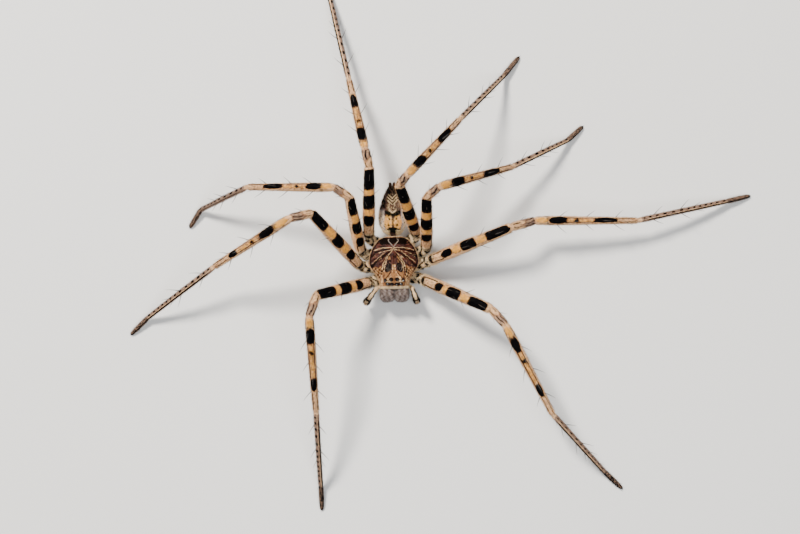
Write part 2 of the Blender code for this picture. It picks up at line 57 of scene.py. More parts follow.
# Sizes repeated from the solids, in millimetres
GAP = 0.3
STERNUM_Z = 2.0
FLANK_FOOT_Z = 2.5
RIM_UNDER_Z = 4.65
RIM_Z = 4.9
FLANK_MIDDLE_Y = -1.7
FLANK_HALF_WIDTH = 3.3
FLANK_HALF_LENGTH = 4.2
CHEEK_Y = -6.2
CHEEK_HALF_WIDTH = 2.05
CARAPACE_STATIONS = (
    (2.25, 2.1, 5.25),
    (1.9, 2.7, 5.6),
    (1.0, 3.3, 6.0),
    (0.3, 3.85, 6.15),
    (-0.7, 4.3, 6.35),
    (-2.2, 4.6, 6.7),
    (-3.2, 4.35, 6.85),
    (-4.1, 3.7, 6.9),
    (-5.0, 3.1, 6.85),
    (-5.9, 2.75, 6.65),
    (-6.6, 2.62, 6.3),
    (-7.05, 2.5, 5.85),
)
ABDOMEN_STATIONS = (
    (2.55, 0.45, 0.4, 4.0),
    (2.8, 0.95, 0.95, 4.1),
    (3.2, 1.6, 1.55, 4.15),
    (3.9, 2.2, 2.05, 4.15),
    (4.9, 2.55, 2.25, 4.1),
    (6.1, 2.55, 2.2, 4.05),
    (7.4, 2.3, 2.0, 4.0),
    (8.7, 1.9, 1.7, 3.95),
    (9.8, 1.45, 1.35, 3.9),
    (10.6, 1.05, 1.0, 3.9),
    (11.05, 0.75, 0.72, 3.9),
)
SPINNERET_LENGTH = 0.6
SPINNERET_RADIUS = 0.26
SPINNERET_SPREAD = 0.3
CHELICERA_OFFSET = 1.37
CHELICERA_FULLNESS = 2.6
CHELICERA_BACK_Y = PROSOMA_FRONT - GAP
CHELICERA_SLICES = (
    (5.35, -8.3, 0.85),
    (5.1, -8.85, 1.12),
    (4.5, -9.35, 1.21),
    (3.6, -9.55, 1.22),
    (2.8, -9.5, 1.12),
    (2.1, -9.25, 0.95),
    (1.7, -8.95, 0.75),
)
FANG_ROOT_RADIUS = 0.33
FANG_REACH = 1.15
FANG_DROP = 0.75
EYES = {
    "anterior_median": (0.45, -6.42, 0.2),
    "anterior_lateral": (1.2, -6.3, 0.27),
    "posterior_median": (0.62, -5.55, 0.2),
    "posterior_lateral": (1.6, -5.65, 0.25),
}
EYE_STAND = 0.25
PALP_ROOT_Y = -6.62
PALP_ROOT_Z = 3.4
PALP_HEADINGS = {"left": -71, "right": -128}
PALP_TROCHANTER_SWEEP = 18
PALP_LENGTHS = (0.8, 1.9, 1.05, 1.25)
PALP_RISES = {"left": (12, 58, 0, -70), "right": (12, 48, -6, -54)}
PALP_RADII = (0.3, 0.3, 0.36, 0.48, 0.5)
PALP_BULB_LENGTH = 2.3
PALP_BULB_RISE = -80
PALP_BULB_PROFILE = ((0.0, 0.46), (0.25, 0.6), (0.55, 0.6), (0.82, 0.4), (1.0, 0.16))
HIP_Z = 3.7
COXA_ROOT_Z = 3.2
HIPS = {1: (4.7, -5.7), 2: (6.2, -2.6), 3: (5.9, -0.2), 4: (4.3, 2.5)}
COXA_ANGLES = {1: -50, 2: -19, 3: 10, 4: 39}
LEG_LENGTHS = {
    1: (14.8, 4.4, 18.5, 16.6, 4.7),
    2: (16.8, 4.8, 18.9, 17.3, 4.6),
    3: (13.4, 3.5, 16.2, 13.2, 3.9),
    4: (14.5, 3.5, 14.8, 16.4, 4.7),
}
LEG_POSES = {
    "right_1": ((-171, 50), (-112, 29), (-91, -23), -92, -92),
    "right_2": ((128, 42), (-170, 39), (-153, -30), -148, -140),
    "right_3": ((97, 42), (144, 27), (175, -16), -161, -127),
    "right_4": ((85, 31), (99, 26), (99, -28), 99, 97),
    "left_1": ((-28, 24), (-53, 36), (-66, -11), -52, -48),
    "left_2": ((18, 19), (12, -26), (-4, -7), 8, 9),
    "left_3": ((86, 49), (36, 36), (12, -32), 22, 38),
    "left_4": ((106, 52), (45, 53), (43, -22), 42, 47),
}
TARSUS_RISE = -12
TIP_Z = 0.16
BOWS = {"femur": 0.035, "patella": 0.0, "tibia": 0.02, "metatarsus": 0.03, "tarsus": 0.0}
PROFILES = {
    "coxa": ((0.0, 0.8), (0.3, 0.9), (0.6, 0.86), (0.8, 0.78), (1.0, 0.78)),
    "femur": ((0.0, 0.78), (0.1, 0.97), (0.3, 1.13), (0.55, 1.08), (0.8, 0.96), (0.93, 0.92), (1.0, 0.82)),
    "patella": ((0.0, 0.74), (0.27, 0.8), (0.6, 0.79), (0.82, 0.76), (1.0, 0.68)),
    "tibia": ((0.0, 0.68), (0.06, 0.8), (0.25, 0.82), (0.5, 0.73), (0.75, 0.65), (0.95, 0.59), (1.0, 0.53)),
    "metatarsus": ((0.0, 0.48), (0.05, 0.54), (0.3, 0.52), (0.6, 0.5), (0.92, 0.46), (1.0, 0.44)),
    "tarsus": ((0.0, 0.44), (0.12, 0.46), (0.5, 0.45), (0.82, 0.4), (0.95, 0.32), (1.0, 0.2)),
}
# How far round from the top the dark patches reach, in degrees, on the front and rear side
MARK_MARGIN = (88, 88)
MARK_MARGINS = {"left_1": (76, 52), "left_2": (46, 66), "right_1": (72, 85), "right_2": (52, 88),
                "right_3": (36, 88)}
# Start and end of the femur's spot, band and long patch, as shares of its length
FEMUR_MARKS = {
    "left_1": (0.23, 0.335, 0.405, 0.585, 0.705, 0.95),
    "left_2": (0.18, 0.315, 0.42, 0.595, 0.72, 0.985),
    "left_3": (0.24, 0.39, 0.475, 0.66, 0.785, 1.0),
    "left_4": (0.165, 0.32, 0.425, 0.6, 0.735, 0.985),
    "right_1": (0.24, 0.37, 0.46, 0.645, 0.735, 0.995),
    "right_2": (0.215, 0.345, 0.455, 0.61, 0.77, 1.01),
    "right_3": (0.2, 0.37, 0.435, 0.615, 0.75, 1.0),
    "right_4": (0.205, 0.36, 0.45, 0.64, 0.715, 0.98),
}
# The same for the two patches of the tibia, where a leg differs from the rest
TIBIA_MARK = (0.14, 0.31, 0.57, 0.8)
TIBIA_MARKS = {"left_1": (0.14, 0.295, 0.65, 0.79), "right_1": (0.115, 0.27, 0.63, 0.77),
               "right_2": (0.175, 0.36, 0.66, 0.77), "right_4": (0.09, 0.265, 0.555, 0.75)}
PIECES = ("coxa", "femur", "patella", "tibia", "metatarsus", "tarsus")
PAIR_GIRTH = {1: 1.0, 2: 1.0, 3: 0.97, 4: 0.97}
SPINE_LENGTH = 2.1
SPINE_LEAN = 40
SPINE_VARIATION = 0.14
SPINE_SEED = 7
SPINE_PLACES = {
    "femur": ((0.42, 90), (0.62, 35), (0.64, 145), (0.82, 90)),
    "tibia": ((0.22, 10), (0.24, 170), (0.48, 5), (0.5, 175), (0.76, 10), (0.78, 170)),
    "metatarsus": ((0.16, 20), (0.18, 160), (0.46, 20), (0.48, 160)),
}

# Finer spines between those, and the sizes of both kinds
FINE_SPINE_PLACES = {
    "femur": ((0.5, 60), (0.5, 120), (0.72, 50), (0.73, 130)),
    "patella": ((0.35, 10), (0.37, 170)),
    "tibia": ((0.12, 60), (0.36, 95), (0.62, 85), (0.35, 250), (0.62, 290), (0.86, 60), (0.87, 120)),
    "metatarsus": ((0.08, 300), (0.09, 240), (0.33, 60), (0.62, 30), (0.63, 150)),
}
FINE_SPINE_LEAN = (26, 40)
FINE_SPINE_LENGTH = (1.2, 1.8)
SPINE_RADIUS = 0.075
FINE_SPINE_RADIUS = 0.055
SPINE_TIP_RADIUS = 0.012
SPINE_ROOT_DEPTH = 0.2

# The skin lies this far inside the solids, for the coat's depth
COAT_DEPTH = 0.05
LOWEST_SKIN_Z = 0.03

# A leg's tube: its rings, and how its path, joints and toe are rounded
RING_SPACING = 0.14
RING_POINTS = 28
CURVE_POINTS = 120
CORNER_SOFTNESS = 0.42
PROFILE_SOFTNESS = 0.05
COXA_ROOT_DEPTH = 0.6
COXA_LENGTH = 3.2
JOINT_GROOVE = 0.2
TOE_GROOVE = 0.1
GROOVE_WIDTH = 0.2
COLLAR_RISE = 0.05
COLLAR_PLACE = 0.45
COLLAR_WIDTH = 0.25
TOE_ROUNDING = 0.3
LEG_FLOW_STRETCH = 0.22

# Points in each section of the prosoma, and rings and points of the other parts
PROSOMA_ROWS = 190
DOME_SAMPLES = 44
UNDER_POINTS = 26
DOME_POINTS = 70
ABDOMEN_ROWS = 180
ABDOMEN_POINTS = 112
CHELICERA_ROWS = 64
CHELICERA_POINTS = 56
PALP_SPACING = 0.09
PALP_PIECE_POINTS = 60
PALP_ROOT_DEPTH = 0.6
PALP_POINTS = 24
SPINNERET_ROWS = 24
SPINNERET_POINTS = 18
EYE_ROWS = 18
EYE_COLUMNS = 28

# Lines on one half of the carapace: strength, half width, fade, and places in millimetres from the fovea
NECK_FURROW = ((0.15, -0.4), (1.3, -1.7), (2.3, -3.0), (2.7, -4.3))
PALE_LINES = (
    (0.8, 0.1, 0.0, ((0.1, 0.45), (0.45, 0.95), (0.88, 1.42), (0.86, 1.68), (0.72, 1.86))),
    (0.9, 0.085, 0.45, ((0.0, 0.18), (1.1, 0.26), (2.6, 0.1), (3.6, -0.32), (4.3, -1.1), (4.5, -1.9))),
    (0.7, 0.07, 0.1, ((0.3, -0.05), (1.1, -0.32), (2.25, -1.1), (3.3, -2.0), (4.15, -2.75))),
    (0.6, 0.065, 0.2, ((1.4, -0.3), (2.9, -0.8), (3.7, -1.35), (4.15, -1.95))),
    (0.9, 0.095, 0.1, ((0.05, 0.0), (0.85, -0.98), (1.4, -1.6), (1.7, -2.3), (1.9, -3.0))),
    (0.9, 0.13, 0.35, ((1.7, -2.3), (1.98, -3.0), (2.2, -4.05), (2.3, -5.2))),
    (0.9, 0.09, 0.2, ((1.05, -1.5), (1.4, -2.3), (1.66, -3.1), (1.75, -4.0))),
    (0.55, 0.08, 0.3, ((2.2, -1.6), (2.9, -2.3), (3.4, -3.0))),
    (0.5, 0.08, 0.3, ((0.9, -0.9), (1.8, -1.7), (2.5, -2.6))),
)
TAN_LINES = (
    (0.8, 0.26, 0.0, ((0.72, -1.25), (0.85, -1.9), (0.95, -2.4))),
    (0.6, 0.2, 0.0, ((1.9, -1.3), (2.7, -1.9), (3.3, -2.5))),
    (0.6, 0.2, 0.0, ((2.0, -0.05), (3.0, -0.35), (3.7, -0.9))),
)
DARK_LINES = (
    (0.6, 0.2, 0.0, ((0.5, 0.0), (1.9, -0.15), (3.2, -0.55), (4.1, -1.4))),
    (0.6, 0.2, 0.0, ((0.6, -0.4), (1.9, -1.2), (3.1, -2.1), (3.9, -3.2))),
    (0.6, 0.2, 0.0, ((0.45, -0.8), (1.1, -1.7), (1.35, -2.4))),
    (0.5, 0.09, 0.2, ((1.75, -4.4), (1.7, -5.0), (1.68, -5.75))),
    (0.8, 0.12, 0.2, ((1.3, -1.75), (1.62, -2.6), (1.85, -3.3), (2.0, -4.1))),
    (0.6, 0.12, 0.2, ((2.1, -3.1), (2.3, -3.8), (2.42, -4.6))),
    (0.6, 0.1, 0.0, ((0.0, -0.5), (0.0, -1.6), (0.0, -3.0), (0.0, -4.4))),
)
# Half width of the tan field between the eyes and the dark ovals, along Y
FIELD_WIDTHS = ((-6.0, 1.45), (-5.4, 1.4), (-5.0, 1.1), (-4.6, 0.78), (-4.2, 0.5), (-3.6, 0.32), (-2.6, 0.26))
# Small pits in the back of the abdomen
SIGILLA = ((0.76, 4.3), (0.62, 5.4), (0.75, 6.0))

# Colours of each part: base, second, warm, pale, dark, grey, and the painted sheen: lighter highlight streaks
# on the dark
PALETTES = {
    "carapace": ((0.11, 0.023, 0.009), (0.042, 0.01, 0.005), (0.43, 0.19, 0.062), (0.92, 0.62, 0.32),
                 (0.006, 0.003, 0.002), (0.36, 0.33, 0.29), (0.04, 0.016, 0.01)),
    "abdomen": ((0.155, 0.066, 0.034), (0.085, 0.037, 0.02), (0.9, 0.47, 0.1), (0.98, 0.74, 0.42),
                (0.007, 0.007, 0.005), (0.64, 0.56, 0.57), (0.03, 0.03, 0.02)),
    "coxa": ((0.7, 0.48, 0.25), (0.4, 0.24, 0.11), (0.8, 0.48, 0.13), (1.0, 0.76, 0.45),
             (0.006, 0.005, 0.004), (0.5, 0.45, 0.38), (0.04, 0.035, 0.03)),
    "leg": ((0.5, 0.22, 0.08), (0.34, 0.14, 0.05), (0.85, 0.42, 0.07), (0.86, 0.54, 0.28),
            (0.0025, 0.002, 0.0025), (0.26, 0.165, 0.115), (0.03, 0.04, 0.05)),
    "chelicera": ((0.24, 0.18, 0.15), (0.14, 0.1, 0.085), (0.3, 0.2, 0.1), (0.58, 0.48, 0.42),
                  (0.026, 0.018, 0.014), (0.25, 0.18, 0.15), (0.06, 0.05, 0.045)),
    "palp": ((0.38, 0.21, 0.09), (0.22, 0.12, 0.05), (0.6, 0.3, 0.08), (0.9, 0.64, 0.36),
             (0.01, 0.006, 0.005), (0.2, 0.18, 0.16), (0.05, 0.04, 0.03)),
}
# Speckle and roughness of the skins; speckle, roughness and sheen of the hairs
SKINS = {"carapace": (0.3, 0.4), "abdomen": (0.5, 0.6), "leg": (0.5, 0.42), "chelicera": (0.3, 0.5),
         "palp": (0.4, 0.5)}
HAIR_LOOK = (0.2, 0.55, 0.1)
FANG_COLOURS = ((0.03, 0.012, 0.008), (0.09, 0.03, 0.015))
SPINE_COLOURS = ((0.012, 0.009, 0.008), (0.05, 0.035, 0.025))

# Hairs of each coat: count, seed, slot, lowest and highest length, width and lift, spread and bend
COATS = {
    "fur_leg": (14000, 1000, "leg", (0.3, 0.65), (0.024, 0.04), (0.1, 0.45), 0.18, 0.0),
    "fur_foot": (3500, 1500, "foot", (0.25, 0.5), (0.022, 0.036), (0.12, 0.6), 0.18, 0.0),
    "bristles_leg": (2600, 2000, "leg", (0.45, 0.95), (0.018, 0.026), (0.4, 1.1), 0.25, 0.0),
    "fur_hip": (2600, 3000, "coxa", (0.3, 0.6), (0.026, 0.04), (0.12, 0.5), 0.25, 0.0),
    "tuft_hip": (2000, 3500, "coxa", (0.5, 1.0), (0.034, 0.052), (0.3, 0.9), 0.16, 0.5),
    "pad_toe": (1500, 4000, "foot", (0.14, 0.26), (0.02, 0.03), (0.3, 0.9), 0.25, 0.0),
    "fur_carapace": (26000, 51, "prosoma", (0.14, 0.3), (0.02, 0.034), (0.05, 0.35), 0.25, 0.0),
    "lines_carapace": (6000, 52, "prosoma", (0.16, 0.3), (0.02, 0.032), (0.12, 0.45), 0.12, 0.0),
    "bristles_carapace": (1200, 53, "prosoma", (0.35, 0.7), (0.014, 0.022), (0.5, 1.3), 0.25, 0.5),
    "fur_sternum": (5000, 54, "prosoma", (0.2, 0.4), (0.022, 0.036), (0.15, 0.5), 0.25, 0.0),
    "lip_hair": (2200, 55, "prosoma", (0.3, 0.6), (0.026, 0.044), (0.2, 0.8), 0.25, 0.8),
    "fur_abdomen": (28000, 61, "abdomen", (0.2, 0.42), (0.024, 0.04), (0.08, 0.45), 0.25, 0.0),
    "bristles_abdomen": (3500, 62, "abdomen", (0.4, 0.85), (0.016, 0.028), (0.4, 1.0), 0.25, 0.5),
    "fringe_abdomen": (1600, 63, "abdomen", (0.35, 0.75), (0.024, 0.036), (0.4, 1.1), 0.25, 0.5),
    "fur_spinneret": (350, 64, "spinnerets", (0.15, 0.35), (0.02, 0.03), (0.2, 0.8), 0.25, 0.0),
    "fur_chelicera": (6500, 71, "chelicera", (0.3, 0.7), (0.026, 0.042), (0.15, 0.7), 0.4, 0.4),
    "bridge_chelicera": (1500, 72, "chelicera", (0.35, 0.6), (0.026, 0.04), (0.6, 1.5), 0.35, 0.3),
    "fur_palp": (3500, 81, "palp", (0.22, 0.5), (0.02, 0.032), (0.25, 1.0), 0.25, 0.0),
}

# Corners and faces of a straight hair and of one that bends once
SHORT_FACES = ((0, 2, 1), (0, 1, 3), (1, 2, 3), (2, 0, 3))
SHORT_LAYOUT = ((0, 0), (1, 0), (0.5, 0.4), (0.5, 1))
LONG_FACES = ((0, 1, 4), (0, 4, 3), (1, 2, 5), (1, 5, 4), (2, 0, 3), (2, 3, 5),
              (3, 4, 6), (4, 5, 6), (5, 3, 6), (0, 2, 1))
LONG_LAYOUT = ((0, 0), (0.5, 0), (1, 0), (0, 0.5), (0.5, 0.5), (1, 0.5), (0.5, 1))
TUFT_PATCH = 0.003
# A hair's three sides, how flat it is, how far behind and under its place it starts, and its bend
HAIR_ANGLES = (0.0, 2.094, 4.189)
HAIR_FLATNESS = 0.6
HAIR_BACKSET = 0.12
HAIR_ROOT_DEPTH = 0.03
HAIR_BEND_PLACE = 0.55
HAIR_TAPER = 0.7
LOWEST_HAIR_Z = 0.02

# Camera: photograph scale at the body's height, and the turn of the animal in the picture
IMAGE_WIDTH = 800
IMAGE_HEIGHT = 534
PIXEL_MM = 0.18
SCALE_PLANE_Z = 5.0
CAMERA_Z = 420.0
BODY_TURN = 4.2
FOVEA_PIXEL = (393.5, 249.0)
FOVEA_Z = 6.0

# Lights: place, size, power and colour, and the floor and sky
LIGHTS = {
    "key": ((-0.26, 0.42, 0.56), 0.16, 12.5, (1.0, 0.96, 0.9)),
    "fill": ((0.12, -0.2, 0.8), 0.6, 5.0, (0.92, 0.96, 1.0)),
}
FLOOR_SIZE = 6.0
FLOOR_COLOURS = ((0.78, 0.765, 0.74), (0.8, 0.79, 0.77))
SKY_COLOUR = (0.95, 0.97, 1.0, 1.0)
SKY_STRENGTH = 0.22


def swung(points):
    """From the body's straight frame to the frame of the legs."""
    turn = math.radians(BODY_SWING)
    x, y = points[..., 0], points[..., 1]
    return np.stack([x * math.cos(turn) - y * math.sin(turn), x * math.sin(turn) + y * math.cos(turn),
                     points[..., 2]], -1)


def frame_shift():
    """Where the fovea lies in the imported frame, from the box of the prosoma."""
    low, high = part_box("prosoma")
    rims = swung(np.array([(sign * rim, y, 0.0) for y, rim, _ in CARAPACE_STATIONS for sign in (1, -1)]))
    x = (low.x + high.x) / 2 / MM - (rims[:, 0].min() + rims[:, 0].max()) / 2
    return np.array([x, low.y / MM - rims[:, 1].min(), 0.0])


SHIFT = frame_shift()

def smooth(low, high, value):
    share = np.clip((value - low) / (high - low), 0.0, 1.0)
    return share * share * (3 - 2 * share)


def until(low, high, value):
    return 1 - smooth(low, high, value)


def bell(value, width):
    return np.exp(-(value / width) ** 2)


def highest(*layers):
    return reduce(np.maximum, layers)


def stack_marks(*marks):
    """Dark, pale, warm and grey as the four values of every point."""
    return np.stack([np.clip(mark, 0, 1) for mark in np.broadcast_arrays(*marks)], -1)


def full_turn(count):
    return np.linspace(0, 2 * math.pi, count, endpoint=False)


def path_reach(points):
    """Length along a path up to each of its points."""
    return np.concatenate([[0], np.cumsum(np.linalg.norm(np.diff(points, axis=0), axis=1))])


def band(value, low, high, soft):
    return smooth(low - soft, low + soft, value) * until(high - soft, high + soft, value)


def unit(vectors):
    return vectors / np.maximum(np.linalg.norm(vectors, axis=-1, keepdims=True), 1e-12)


def direction(heading, rise):
    turn = math.radians(heading)
    lift = math.radians(rise)
    return np.array([math.cos(turn) * math.cos(lift), math.sin(turn) * math.cos(lift), math.sin(lift)])


def arc_points(start, control, end, count):
    place = np.linspace(0, 1, count)[:, None]
    return start * (1 - place) ** 2 + control * 2 * place * (1 - place) + end * place ** 2


def bow_control(start, end, bow):
    along = unit(end - start)
    up = np.cross(unit(np.cross(along, UP)), along)
    return (start + end) / 2 + up * 2 * bow * np.linalg.norm(end - start)


def fine_profile(stations, places, soft):
    """Values between stations, rounded over a distance."""
    stations = np.array(sorted(stations), float)
    reach = np.linspace(-soft, soft, 9)
    weight = 1 - (reach / (soft * 1.25)) ** 2
    values = []
    for column in range(1, stations.shape[1]):
        spread = [np.interp(places + step, stations[:, 0], stations[:, column]) for step in reach]
        values.append(np.average(spread, axis=0, weights=weight))
    return values


class Patch:
    """A closed tube of the skin, as rows of rings, with what its hair and paint need."""

    def __init__(self, name, points, marks, material, flow=None, body=True):
        self.name = name
        self.plan = points
        self.marks = marks
        self.material = material
        self.flow = points[:, :, [1, 0, 2]] if flow is None else flow
        points = swung(points) if body else points
        self.points = points
        ahead = np.gradient(points, axis=0)
        around = np.roll(points, -1, axis=1) - np.roll(points, 1, axis=1)
        self.along = unit(ahead)
        normals = unit(np.cross(around, ahead))
        outward = points - points.mean(axis=1, keepdims=True)
        self.reversed = np.sum(normals * outward) > 0
        self.normals = normals if self.reversed else -normals


def tube_points(centres, tangents, radii, sides, guide=UP):
    """Rings round a path, counted from the side that is level with the guide."""
    side = unit(np.cross(tangents, guide))
    return ring_points(centres, side, np.cross(side, tangents), radii, sides)


def ring_points(centres, side, up, radii, sides):
    turn = full_turn(sides)
    ways = side[:, None, :] * np.cos(turn)[None, :, None] + up[:, None, :] * np.sin(turn)[None, :, None]
    return centres[:, None, :] + ways * radii[:, None, None]


def smooth_path(points, spacing, soft):
    """Resamples a path evenly and rounds its corners; also gives each point's share of the input."""
    reach = path_reach(points)
    count = int(reach[-1] / spacing) + 1
    even = np.linspace(0, reach[-1], count)
    padded = np.array([np.interp(even, reach, points[:, axis]) for axis in range(3)]).T
    width = max(int(soft / spacing), 1)
    kernel = np.exp(-0.5 * (np.arange(-3 * width, 3 * width + 1) / width) ** 2)
    kernel /= kernel.sum()
    ends = 3 * width
    front = padded[0] - (padded[1:ends + 1] - padded[0])[::-1]
    back = padded[-1] + (padded[-1] - padded[-ends - 1:-1])[::-1]
    long = np.vstack([front, padded, back])
    rounded = np.array([np.convolve(long[:, axis], kernel, "valid") for axis in range(3)]).T
    return rounded, unit(np.gradient(rounded, axis=0)), even


def leg_spots(side_sign, pair, name):
    """Hip, knee and the other joints, as in the solids."""
    lengths = LEG_LENGTHS[pair]
    femur_way, patella_way, tibia_way, metatarsus_heading, tarsus_heading = LEG_POSES[name]
    spots = [np.array([side_sign * HIPS[pair][0], HIPS[pair][1], HIP_Z])]
    for length, way in zip(lengths, (femur_way, patella_way, tibia_way)):
        spots.append(spots[-1] + direction(*way) * length)
    tarsus = direction(tarsus_heading, TARSUS_RISE) * lengths[4]
    ankle_z = TIP_Z - tarsus[2]
    rise = math.degrees(math.asin((ankle_z - spots[-1][2]) / lengths[3]))
    spots.append(spots[-1] + direction(metatarsus_heading, rise) * lengths[3])
    spots.append(spots[-1] + tarsus)
    return spots


def leg_controls(side_sign, pair, spots):
    """Start, control and end of every piece's centre curve, from the coxa to the tarsus."""
    curves = {}
    for number, piece in enumerate(PIECES[1:]):
        start, end = spots[number], spots[number + 1]
        curves[piece] = (start, bow_control(start, end, BOWS[piece]), end)
    turn = math.radians(COXA_ANGLES[pair])
    root = np.array([side_sign * FLANK_HALF_WIDTH * math.cos(turn),
                     FLANK_MIDDLE_Y + FLANK_HALF_LENGTH * math.sin(turn), COXA_ROOT_Z])
    outward = unit(np.array([side_sign * math.cos(turn) / FLANK_HALF_WIDTH,
                             math.sin(turn) / FLANK_HALF_LENGTH, 0.0]))
    root = swung(root + outward * GAP)
    femur_start = unit(curves["femur"][1] - curves["femur"][0])
    lean = unit(unit(spots[0] - root) + femur_start)
    control = spots[0] - lean * np.linalg.norm(spots[0] - root) * 0.42
    curves["coxa"] = (root, control, spots[0])
    return curves


class LegPaint:
    """Marks of a leg piece; along runs from 0 to 1, angle is 0 at the top and 1 at the marks' margins."""

    def __init__(self, name, length, along, angle, draw):
        self.name = name
        self.length = length
        self.draw = draw
        self.along = along + draw.uniform(-0.006, 0.006)
        self.angle = angle
        self.side = np.abs(angle)

    def ring(self, low, high):
        return band(self.along, low, high, 0.3 / self.length)

    def lines(self, low, high, first, second):
        return band(self.side, first, second, 0.07) * self.ring(low, high)

    def patch(self, along, low, high, span, shape):
        """A patch on the upper side, soft over about half a millimetre; low shape values make it pointed."""
        middle = (low + high) / 2
        half = (high - low) / 2
        reach = np.abs((along - middle) / half) ** shape[0] + np.abs(self.angle / span) ** shape[1]
        soft = 0.35 * shape[0] / (half * self.length)
        return until(1 - soft, 1 + soft, reach)

    def spot(self, low, high, span=1.0, shape=(3, 5)):
        """A patch that lies a little differently on every leg."""
        skew = self.draw.uniform(-0.016, 0.016) * self.angle
        bow = self.draw.uniform(-0.012, 0.02) * self.side
        return self.patch(self.along + skew + bow, low, high, span, shape)

    def coxa(self):
        # Dark streaks: partly the coxa's own dark marks, partly painted shade in the gaps between the cream
        # hip tufts
        streaks = np.sin(self.along * 14.0 + 3 * self.angle + 1.5 * np.sin(self.angle * 4))
        return 0.95 * smooth(-0.1, 0.2, streaks), 0.95, 0.0, 0.0

    def femur(self):
        oval_low, oval_high, band_low, band_high, long_low, long_high = FEMUR_MARKS[self.name]
        bands = self.ring(band_low, band_high) + self.ring(long_low, long_high)
        dark = highest(self.spot(oval_low, oval_high, 0.72, (2.4, 2.4)),
                       self.spot(band_low, band_high, 1.05),
                       self.spot(long_low, long_high, 1.1),
                       0.95 * self.lines(0.03, oval_low + 0.02, 0.66, 0.96),
                       0.9 * self.spot(0.02, 0.07, 0.8),
                       0.5 * smooth(1.35, 1.8, self.side) * bands)
        margin = until(0.15, 0.35, np.abs(self.side - 1.25))
        pale = highest(0.58, margin * until(0.9, 1.0, self.along), self.ring(long_high, 1.1))
        gaps = ((oval_high, band_low), (band_high, long_low))
        warm = highest(*(self.patch(self.along, low + 0.004, high - 0.004, 0.7, (2, 2))
                         for low, high in gaps))
        return dark, pale, warm, 0.0

    def patella(self):
        outer = smooth(0.32, 0.62, self.along + 0.08 * np.sin(self.angle * 4.0))
        outer = outer * until(0.93, 1.0, self.along)
        streaks = 0.5 + 0.5 * np.cos(self.angle * 8.0 + 1.6 * np.sin(self.along * 7.0))
        upper = until(0.9, 1.25, self.side)
        dark = highest(upper * outer * 0.85 * smooth(0.55, 0.95, streaks),
                       0.8 * self.lines(0.06, 0.36, 0.35, 0.6),
                       0.8 * band(self.along, 0.03, 0.09, 0.02) * upper * (1 - streaks))
        return dark, highest(0.66 * (1 - outer), 0.5 * outer * (1 - streaks)), 0.0, outer

    def tibia(self):
        first_low, first_high, second_low, second_high = TIBIA_MARKS.get(self.name, TIBIA_MARK)
        dark = highest(self.spot(first_low, first_high, 1.0, (1.8, 2.6)),
                       0.95 * self.spot(second_low, second_high, 0.85, (1.8, 2.6)),
                       0.85 * self.spot(first_high + 0.07, first_high + 0.12, 0.4, (2, 2)),
                       0.85 * self.lines(first_high - 0.03, second_low + 0.03, 0.45, 0.68),
                       0.85 * self.lines(0.78, 0.98, 0.4, 0.62),
                       0.75 * self.lines(0.02, 0.13, 0.82, 1.1),
                       0.46 * self.ring(first_low - 0.03, first_low + 0.02))
        warm = highest(self.patch(self.along, 0.01, first_low - 0.01, 0.75, (2, 2)),
                       0.55 * self.lines(first_high, second_low, -0.1, 0.4))
        return dark, 0.56 + 0.24 * self.ring(0.0, first_low - 0.01), warm, 0.0

    def metatarsus(self):
        row = np.cos(self.along * self.length * 2 * math.pi / 1.3 + 2 * np.sin(self.along * 9))
        dots = smooth(0.1, 0.6, row) * band(self.angle, -0.7, -0.05, 0.1)
        flecks = smooth(0.5, 0.95, np.cos(self.along * self.length * 2 * math.pi / 1.35 + self.side * 4))
        dark = highest(highest(0.95 * dots, 0.42 * flecks) * smooth(0.02, 0.08, self.along),
                       band(self.angle, 0.4, 1.0, 0.08) * smooth(0.0, 0.2, self.along),
                       0.5 * band(self.angle, -1.1, -0.8, 0.1))
        pale = 0.62 * highest(self.ring(-0.2, 0.04), band(self.angle, 0.0, 0.34, 0.06))
        return dark, pale, 0.0, 1.0

    def tarsus(self):
        depth = 0.52 if self.name in ("left_1", "right_1") else 0.45
        dark = highest(depth, 0.9 * band(self.angle, 0.45, 0.9, 0.1), 0.7 * smooth(0.88, 0.97, self.along))
        return dark, 0.0, 0.0, 1.0

    def marks(self, piece):
        paints = {"coxa": self.coxa, "femur": self.femur, "patella": self.patella, "tibia": self.tibia,
                  "metatarsus": self.metatarsus, "tarsus": self.tarsus}
        dark, pale, warm, grey = paints[piece]()
        return stack_marks(dark, pale * (1 - 0.7 * warm), warm, grey)


def leg_path(curves):
    """Evenly spaced middles of the rings, with each one's piece and share along it in one number."""
    rough = []
    progress = []
    for number, piece in enumerate(PIECES):
        start, control, end = curves[piece]
        if number == 0:
            start = start + unit(start - control) * COXA_ROOT_DEPTH
        first = min(number, 1)
        rough.append(arc_points(start, control, end, CURVE_POINTS)[first:])
        progress.append(number + np.linspace(0, 1, CURVE_POINTS)[first:])
    rough = np.vstack(rough)
    centres, tangents, even = smooth_path(rough, RING_SPACING, CORNER_SOFTNESS)
    return centres, tangents, even, np.interp(even, path_reach(rough), np.concatenate(progress))


